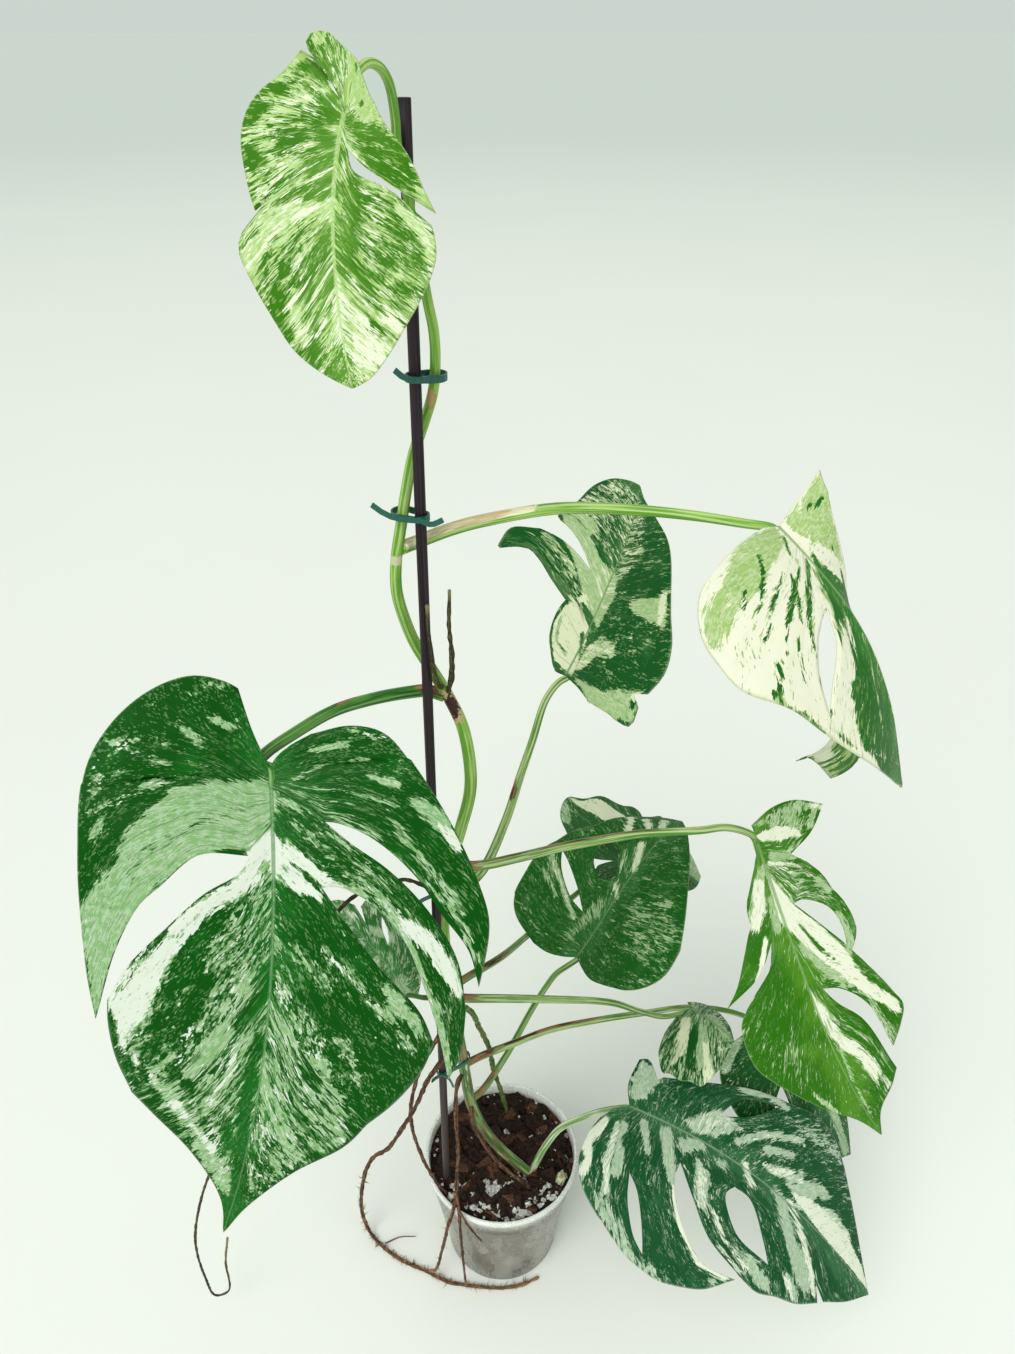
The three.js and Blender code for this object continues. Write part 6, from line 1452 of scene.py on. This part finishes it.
DRIED = dict(
    leaf_left_large=[(0.0, 0.1, 0.8, 0.2), (0.1, 0.52, 0.9, 0.93)],
    leaf_right_cream=[(0.0, 0.36, 1.0, 0.2)],
    leaf_right_bright=[(0.0, 0.07, 0.9, -0.6), (0.08, 0.62, 0.9, 0.95)],
    leaf_upper_back=[(0.46, 0.51, 0.9, 0.3), (0.0, 0.15, 0.4, 0.0)],
    leaf_front_low=[(0.0, 0.12, 0.5, -1.2)],
    leaf_mid_back=[(0.0, 0.22, 0.6, 0.2)],
    leaf_behind_mid=[(0.0, 0.3, 0.6, 0.2)],
    leaf_small_striped=[(0.0, 0.1, 0.7, 0.2), (0.16, 0.6, 0.7, 0.95)],
    leaf_dark_behind=[(0.0, 0.1, 0.8, 0.0), (0.12, 0.4, 0.8, 0.85)],
    leaf_small_behind=[(0.0, 0.5, 0.6, 0.1)],
)
# What leaf_material() gets beside the tones, where it isn't the usual
HABITS = dict(
    leaf_top=dict(streak=(0.9, 6.2), ribs=(1.0, 1.0)),
    leaf_left_large=dict(streak=(2.2, 5.2), flecks=0.17),
    leaf_mid_back=dict(flecks=0.17),
)
# Where the petiole runs on under the midrib: as a share of the blade's length, and mm below it
PETIOLE_END = ((0, 2), (0.045, 2.2))

for seed, (name, leaf) in enumerate(LEAVES.items()):
    data = MeshData()
    surface = blade(data, leaf, PAINT[name], seed)
    points = list(leaf["petiole"]["points"])
    points += [tuple(surface(0, share * leaf["length"], -depth)[0]) for share, depth in PETIOLE_END]
    tube(data, points, leaf["petiole"]["radii"], sides=16, spacing=2.5, slot=1, dried=DRIED.get(name, ()))
    green = leaf_material(name + "_blade", leaf["length"], TONES[name], **HABITS.get(name, {}))
    bark = TAN if name == "leaf_right_cream" else DARK_BARK
    stalk = stalk_material(name + "_stalk", *STALKS[name], bark=bark)
    stand_in(data.build(name + "_look", [green, stalk]), name)


# Stem, roots and stub

CREAM_SCAR, BROWN_SCAR, DARK_SCAR = (0.66, 0.62, 0.46), (0.4, 0.27, 0.13), (0.035, 0.014, 0.012)
FOOT_TOP = 325
STEM_MARKS = [
    ((-28, -20.5, 592), (8, 7, 13.5), (0.42, 0.32, 0.17), DARK_SCAR),
    ((-53, -24, 689), (6.5, 6.5, 2.6), (0.5, 0.5, 0.33), (0.5, 0.5, 0.33)),
    ((-46, -22, 668), (2.4, 3, 3), BROWN_SCAR, DARK_SCAR),
    ((-32, -22, 773), (3, 3, 8), (0.34, 0.26, 0.06), BROWN_SCAR),
    ((-38, -18, 424), (6, 5, 6), BROWN_SCAR, (0.16, 0.06, 0.03)),
    ((-36, -14, 326), (8, 8, 9), (0.2, 0.1, 0.05), DARK_SCAR),
]
stem_data = MeshData()
tube(stem_data, STEM["points"], STEM["radii"], sides=28, spacing=2.0, dried=[(0.0, 0.3, 0.45, -0.5)])
stem_skin = stalk_material("stem_skin", (0.11, 0.29, 0.02), (0.26, 0.45, 0.09), (0.47, 0.6, 0.26), 0.5,
                           marks=STEM_MARKS)
foot_skin = stalk_material("stem_foot", (0.045, 0.16, 0.03), (0.22, 0.38, 0.14), (0.66, 0.7, 0.48), 0.9)
stem_look = stem_data.build("main_stem_look", [stem_skin, foot_skin])
for face in stem_look.data.polygons:
    face.material_index = 1 if face.center.z < FOOT_TOP * MM else 0
stand_in(stem_look, "main_stem")

# How many hairs and grains of mix cling to a root, on which stretch of it, the mm that a hair's length
# is a share of, what share are grains, and how far in mm all of them stay above the floor
FUZZ = dict(root_round_pot=900, root_over_rim=80)
FUZZ_FROM, FUZZ_TO = 0.42, 0.97
HAIR_LENGTH = 5.5
GRAIN_SHARE = 0.3
FLOOR_GAP = 0.15


def fuzz(data, root, seed, count):
    """Short hairs and grains of mix, as thin pyramids, clinging to the lower part of a root."""
    rng = np.random.default_rng(seed)
    line = spline(root["points"], 14)
    verts, faces = [], []
    for _ in range(count):
        share = FUZZ_FROM + (FUZZ_TO - FUZZ_FROM) * rng.random()
        at = line[int(len(line) * share)] + rng.normal(size=3) * 0.3
        away = rng.normal(size=3)
        away[2] = abs(away[2])
        away /= np.linalg.norm(away)
        across = np.cross(away, [0.3, 0.5, 0.8])
        across /= np.linalg.norm(across)
        other = np.cross(away, across)
        grain = rng.random() < GRAIN_SHARE
        size = 1.0 if grain else 0.55
        length = 1.6 + 0.9 * rng.random() if grain else HAIR_LENGTH * (0.4 + rng.random() ** 2)
        base = len(verts)
        verts += [at + size * across, at - 0.5 * size * across + 0.8 * size * other,
                  at - 0.5 * size * across - 0.8 * size * other, at + away * length]
        faces += [(base, base + 2, base + 1), (base, base + 1, base + 3), (base + 1, base + 2, base + 3),
                  (base + 2, base, base + 3)]
    verts = np.array(verts)
    verts[:, 2] = np.maximum(verts[:, 2], FLOOR_GAP)
    where = np.array((0.5, 0.5, 0.0)) + verts * 0.3
    data.add(verts, faces, point={"tube": where, "age": np.tile((0.0, 0.5, 0.0), (len(verts), 1))}, slot=1)


bark = root_material("root_bark", (0.045, 0.021, 0.012), (0.18, 0.1, 0.055), (0.24, 0.15, 0.08))
wiry = root_material("root_wiry_bark", (0.03, 0.028, 0.012), (0.1, 0.085, 0.035), (0.2, 0.17, 0.08))
green_root = root_material("root_green_skin", (0.05, 0.11, 0.025), (0.2, 0.27, 0.09), (0.3, 0.24, 0.12))
hair = root_material("root_hair", (0.2, 0.11, 0.05), (0.5, 0.32, 0.18), (0.5, 0.32, 0.18))
SKINS = dict(root_green=green_root, root_wiry=wiry, root_upright=wiry, root_on_stake=wiry)
ROOT_FULLNESS = 1.06
KNOB_SIZE, KNOB_SPACING = 0.42, 4
SIDE_TWIG = dict(points=[(-105, -17, 2.4), (-92, -12.5, 4.4), (-78, -11.5, 3.4)], radii=[0.7, 0.35])
for seed, (name, root) in enumerate(ROOTS.items()):
    data = MeshData()
    lines = [root] + root.get("branches", []) + ([SIDE_TWIG] if name == "root_round_pot" else [])
    for k, line in enumerate(lines):
        radii = [r * ROOT_FULLNESS for r in line["radii"]]
        knobs = bumps(seed * 7 + k, KNOB_SIZE, KNOB_SPACING)
        tube(data, line["points"], radii, sides=12, spacing=1.6, shape=knobs)
    if name in FUZZ:
        fuzz(data, root, seed, FUZZ[name])
    stand_in(data.build(name + "_look", [SKINS.get(name, bark), hair]), name)

stub_data = MeshData()
tube(stub_data, STUB["points"], STUB["radii"], sides=16, spacing=2)
stub_skin = stalk_material("stub_skin", (0.12, 0.24, 0.07), (0.4, 0.5, 0.26), (0.66, 0.68, 0.45), 0.8,
                           marks=[((50, -25, 121.5), (3, 3, 2), CREAM_SCAR, BROWN_SCAR)])
stand_in(stub_data.build("cut_stub_look", [stub_skin]), "cut_stub")


# Pot and mix

def circle(radius, z, count):
    """Points round a level circle about the pot's axis."""
    angles = [2 * math.pi * k / count for k in range(count)]
    return [(radius * math.cos(angle), radius * math.sin(angle), z) for angle in angles]


def lathe(data, profile, segments=128):
    """A turned body, from its profile's (radius, height) points."""
    verts, faces, rings = [], [], []
    for radius, z in profile:
        if radius == 0:
            rings.append([len(verts)])
            verts.append((0, 0, z))
        else:
            rings.append([len(verts) + k for k in range(segments)])
            verts += circle(radius, z, segments)
    for lower, upper in zip(rings, rings[1:]):
        for k in range(segments):
            n = (k + 1) % segments
            if len(lower) == 1:
                faces.append((lower[0], upper[n], upper[k]))
            elif len(upper) == 1:
                faces.append((lower[k], lower[n], upper[0]))
            else:
                faces.append((lower[k], lower[n], upper[n], upper[k]))
    data.add(verts, faces)


pot_profile = [
    (0, 0), (46, 0), (47.5, 0.6), (POT["base_radius"], 2), (48.6, 8), (52, 36), (56, 64), (60, 90),
    (POT["top_radius"], 113), (63.9, 113.6), (64.4, 114.2), (POT["rim_radius"], 117), (64.8, 119),
    (64, POT["height"]), (62.4, POT["height"]), (62, 119), (62, 115), (60, 100), (54, 55), (50, 24),
    (47, 3.1), (45.5, POT["floor"]), (0, POT["floor"]),
]
pot_data = MeshData()
lathe(pot_data, pot_profile)


def pot_material():
    """Clear plastic misted in patches, with a milky rolled rim."""
    n = Nodes("cloudy_plastic")
    place = n.place()
    height = n.split(place)[2]
    cloud = n.noise(n.scale(place, 1, 1, 0.4), detail=4, rough=0.65, scale=70)["Fac"]
    haze = n.step(cloud, 0.34, 0.74)
    rim = n.step(height, 0.1122, 0.1134)
    milky = n.step(height, 0.096, 0.113)
    colour = n.mix(haze, (0.72, 0.7, 0.62), (0.86, 0.86, 0.8))
    colour = n.mix(rim, colour, (0.93, 0.95, 0.92))
    clear = n.math("MULTIPLY_ADD", haze, -0.12, n.math("MULTIPLY_ADD", milky, -0.55, 0.95))
    n.put(n.shader.inputs["Transmission Weight"], clear)
    n.bump(n.math("MULTIPLY", cloud, n.math("SUBTRACT", 1.0, milky)), 0.0004, 0.3)
    return n.finish(colour, n.math("MULTIPLY_ADD", haze, 0.15, 0.22), IOR=1.35)


stand_in(pot_data.build("pot_look", [pot_material()]), "pot")


def soil_material():
    """Dark bark mix, misted and paler where it shows through the wall of the pot."""
    n = Nodes("potting_mix")
    place = n.place()
    height = n.split(place)[2]
    grain = n.cells(place, scale=260)
    pick = n.split(grain["Color"])
    fine = n.noise(place, detail=4, rough=0.7, scale=700)["Fac"]
    patch = n.noise(n.scale(place, 1, 1, 0.45), detail=4, rough=0.6, scale=85)["Fac"]
    colour = n.mix(n.step(pick[0], 0.1, 0.9), (0.006, 0.004, 0.003), (0.045, 0.024, 0.013))
    colour = n.mix(n.step(pick[1], 0.82, 0.88), colour, (0.13, 0.06, 0.03))
    colour = n.mix(n.step(pick[2], 0.93, 0.95), colour, (0.6, 0.59, 0.55))
    damp = n.step(n.weigh(patch, (pick[0], 0.5)), 0.35, 0.65)
    misted = n.mix(damp, (0.1, 0.068, 0.038), (0.29, 0.26, 0.19))
    upper = n.step(n.weigh(patch, (fine, 0.2), (height, 2.0)), 0.08, 0.38)
    misted = n.mix(upper, (0.14, 0.085, 0.045), misted)
    misted = n.mix(n.step(n.weigh(patch, (fine, 0.3)), 0.58, 0.8), misted, (0.46, 0.46, 0.4))
    misted = n.over(misted, (0.05, 0.03, 0.016), n.step(pick[2], 0.66, 0.76), 0.7)
    colour = n.mix(n.fall(height, 0.1035, 0.1055), colour, misted)
    n.bump(n.math("ADD", n.math("MULTIPLY", grain["Distance"], -1.0), n.math("MULTIPLY", fine, 0.5)), 0.0015)
    return n.finish(colour, 0.88, Specular_IOR_Level=0.2)


def chip_material(name, a, b):
    """Bark or perlite, of two colours drawn out level."""
    n = Nodes(name)
    place = n.place()
    grain = n.noise(n.scale(place, 1, 1, 3), detail=4, rough=0.7, scale=320)["Fac"]
    n.bump(grain, 0.0006)
    return n.finish(n.mix(n.step(grain, 0.35, 0.65), a, b), 0.85, Specular_IOR_Level=0.2)


RINGS, SPOKES = 46, 150
SOIL_RADIUS = 61.0
SOIL_WALL = [(60.6, 104), (54.2, 60), (50, 28), (46.2, 2.4)]
SOIL_BOTTOM = 2.2
SURFACE_LIFT, CHIP_LIFT, PERLITE_LIFT = 1.2, 1.6, 3.8
WAVES, WAVE_HEIGHT = 26, 0.34
CHIPS = 1900
PERLITE_SHARE, CLUMPED_SHARE, DARK_SHARE = 0.3, 0.85, 0.84
CLUMP_ANGLE, CLUMP_SPREAD = -1.5, 0.5
TURN = 6.28
CUBE = np.array([(x, y, z) for x in (-1, 1) for y in (-1, 1) for z in (-1, 1)], float)
CUBE_FACES = [(0, 1, 3, 2), (4, 6, 7, 5), (0, 4, 5, 1), (2, 3, 7, 6), (0, 2, 6, 4), (1, 5, 7, 3)]


def relief(x, y, waves):
    """Height of the uneven surface over its mean, as a sum of waves in all directions."""
    height = 0
    for fineness, heading, phase, _ in waves:
        along = x * math.cos(TURN * heading) + y * math.sin(TURN * heading)
        swing = math.sin((0.06 + 0.5 * fineness) * along + TURN * phase)
        height = height + WAVE_HEIGHT * swing * (1 - fineness * 0.5)
    return height


def soil_body(data, waves, rng):
    """The mix's rough surface, its wall inside the pot and its underside."""
    verts, faces = [(0, 0, SOIL_TOP)], []
    for r in range(1, RINGS + 1):
        for x, y, z in circle(SOIL_RADIUS * r / RINGS, SOIL_TOP + SURFACE_LIFT, SPOKES):
            verts.append((x, y, z + relief(x, y, waves) + 0.5 * rng.random()))
    for radius, z in SOIL_WALL:
        verts += circle(radius, z, SPOKES)
    verts.append((0, 0, SOIL_BOTTOM))
    last = 1 + (RINGS + len(SOIL_WALL) - 1) * SPOKES
    for k in range(SPOKES):
        n = (k + 1) % SPOKES
        faces.append((0, 1 + k, 1 + n))
        for a in range(1, last, SPOKES):
            faces.append((a + k, a + SPOKES + k, a + SPOKES + n, a + n))
        faces.append((last + k, len(verts) - 1, last + n))
    data.add(verts, faces)


def chip(data, waves, rng):
    """One chip of bark or grain of perlite on the surface, most perlite in one clump. It is left out
    where it would stand over the pot's wall."""
    white = rng.random() < PERLITE_SHARE
    radius = SOIL_RADIUS * math.sqrt(rng.random()) * 0.95
    angle = rng.random() * 2 * math.pi
    if white and rng.random() < CLUMPED_SHARE:
        angle = CLUMP_ANGLE + CLUMP_SPREAD * rng.normal()
        radius = SOIL_RADIUS * (0.4 + 0.54 * rng.random())
    x, y = radius * math.cos(angle), radius * math.sin(angle)
    size = (0.8 + 1.2 * rng.random() ** 2) if white else (1.2 + 4.6 * rng.random() ** 3)
    shape = CUBE * np.array([size * (1 if white else 1.5), size, size * (0.85 if white else 0.5)])
    shape = shape + (rng.random((8, 3)) - 0.5) * size * 0.8
    for axis, widest in ((0, 0.8), (1, 0.8), (2, TURN)):
        s = math.sin(rng.random() * widest)
        c = math.sqrt(max(0.0, 1 - s * s))
        first, second = (axis + 1) % 3, (axis + 2) % 3
        a, b = shape[:, first].copy(), shape[:, second].copy()
        shape[:, first], shape[:, second] = c * a - s * b, s * a + c * b
    lift = PERLITE_LIFT if white else CHIP_LIFT
    shape = shape + np.array([x, y, SOIL_TOP + lift + relief(x, y, waves) + size * 0.25])
    if np.linalg.norm(shape[:, :2], axis=1).max() <= SOIL_RADIUS:
        data.add(shape, CUBE_FACES, slot=3 if white else (1 if rng.random() < DARK_SHARE else 2))


rng = np.random.default_rng(5)
waves = rng.random((WAVES, 4))
soil_data = MeshData()
soil_body(soil_data, waves, rng)
for _ in range(CHIPS):
    chip(soil_data, waves, rng)
soil_slots = [
    soil_material(),
    chip_material("bark_dark", (0.007, 0.004, 0.003), (0.035, 0.018, 0.011)),
    chip_material("bark_brown", (0.03, 0.014, 0.008), (0.11, 0.05, 0.025)),
    chip_material("perlite", (0.3, 0.29, 0.26), (0.7, 0.7, 0.66)),
]
stand_in(soil_data.build("soil_look", soil_slots, smooth=False), "soil")


# Stake and ties

def stake_material():
    """Dark coating with fine lengthwise lines, dusty at its foot."""
    n = Nodes("coated_stake")
    place = n.place()
    lines = n.noise(n.scale(place, 900, 900, 8), detail=3)["Fac"]
    height = n.split(place)[2]
    dust = n.fall(n.weigh(height, (lines, 0.3)), 0.1, 0.42)
    colour = n.mix(n.step(lines, 0.4, 0.62), (0.006, 0.003, 0.005), (0.026, 0.013, 0.019))
    colour = n.over(colour, (0.13, 0.1, 0.09), dust, 0.4)
    n.bump(lines, 0.0003, 0.5)
    return n.finish(colour, n.math("MULTIPLY_ADD", lines, 0.2, 0.4), Specular_IOR_Level=0.25)


def tie_material():
    """Dark green plastic, slightly grainy."""
    n = Nodes("tie_plastic")
    place = n.place()
    grain = n.noise(place, detail=2, scale=420)["Fac"]
    n.bump(grain, 0.0003, 0.4)
    colour = n.mix(grain, (0.0, 0.05, 0.036), (0.004, 0.12, 0.09))
    return n.finish(colour, n.math("MULTIPLY_ADD", grain, 0.2, 0.22))


STAKE_LOOK_SHARE = 0.985
stake_data = MeshData()
stake_radii = [STAKE["radius"] * STAKE_LOOK_SHARE] * 2
tube(stake_data, [STAKE["foot"], STAKE["tip"]], stake_radii, sides=32, spacing=20)
stand_in(stake_data.build("stake_look", [stake_material()]), "stake")
# The ties keep their CAD meshes
plastic = tie_material()
for name in TIES:
    node = bpy.data.objects.get(name)
    if node is not None:
        node.data.materials.clear()
        node.data.materials.append(plastic)


# Floor, light and camera

def floor_material():
    """Pale near the pot, and fading with distance into the tone of the studio behind."""
    n = Nodes("pale_floor")
    place = n.place()
    cloud = n.noise(place, detail=2, scale=1.5)["Fac"]
    away = n.add("ShaderNodeVectorMath", operation="LENGTH")
    n.put(away.inputs[0], place)
    near = n.mix(cloud, (0.775, 0.785, 0.74), (0.81, 0.825, 0.775))
    colour = n.mix(n.step(away.outputs["Value"], 0.9, 11.0), near, (0.585, 0.64, 0.6))
    return n.finish(colour, 0.8, Specular_IOR_Level=0.2)


bpy.ops.mesh.primitive_plane_add(size=160, location=(0, 0, 0))
floor = bpy.context.active_object
floor.name = "floor"
floor.data.materials.append(floor_material())


def area_light(name, place, aim, size, power, colour):
    """A round soft light at a place, turned to its aim."""
    light = bpy.data.lights.new(name, "AREA")
    light.shape = "DISK"
    light.size = size
    light.energy = power
    light.color = colour
    obj = bpy.data.objects.new(name, light)
    obj.location = place
    direction = np.array(aim, float) - np.array(place, float)
    direction /= np.linalg.norm(direction)
    obj.rotation_euler = Vector(direction).to_track_quat("-Z", "Y").to_euler()
    bpy.context.collection.objects.link(obj)


sun = bpy.data.lights.new("softbox", "SUN")
sun.energy = 1.75
sun.angle = math.radians(50)
sun.color = (1, 0.99, 0.96)
sun_object = bpy.data.objects.new("softbox", sun)
sun_object.rotation_euler = (math.radians(38), math.radians(-22), 0)
bpy.context.collection.objects.link(sun_object)
area_light("key", (-1.1, -1.5, 1.9), (0, 0, 0.45), 1.4, 9, (1, 0.99, 0.97))
area_light("fill", (1.5, -1.2, 1.3), (0, 0, 0.4), 1.6, 6, (0.97, 0.99, 1))
bpy.context.scene.view_settings.view_transform = "Standard"
world = bpy.data.worlds.new("studio")
world.use_nodes = True
world.node_tree.nodes["Background"].inputs[0].default_value = (0.92, 1.0, 0.945, 1)
world.node_tree.nodes["Background"].inputs[1].default_value = 0.66
bpy.context.scene.world = world

SENSOR = 36
camera_data = bpy.data.cameras.new("camera")
camera_data.sensor_width = SENSOR
camera_data.lens = SENSOR * CAMERA["focal"] / CAMERA["photo_height"]
camera = bpy.data.objects.new("camera", camera_data)
camera.location = [c * MM for c in CAMERA["place"]]
camera.rotation_euler = (math.radians(90 - CAMERA["pitch"]), 0, 0)
bpy.context.collection.objects.link(camera)
bpy.context.scene.camera = camera

bpy.context.view_layer.update()
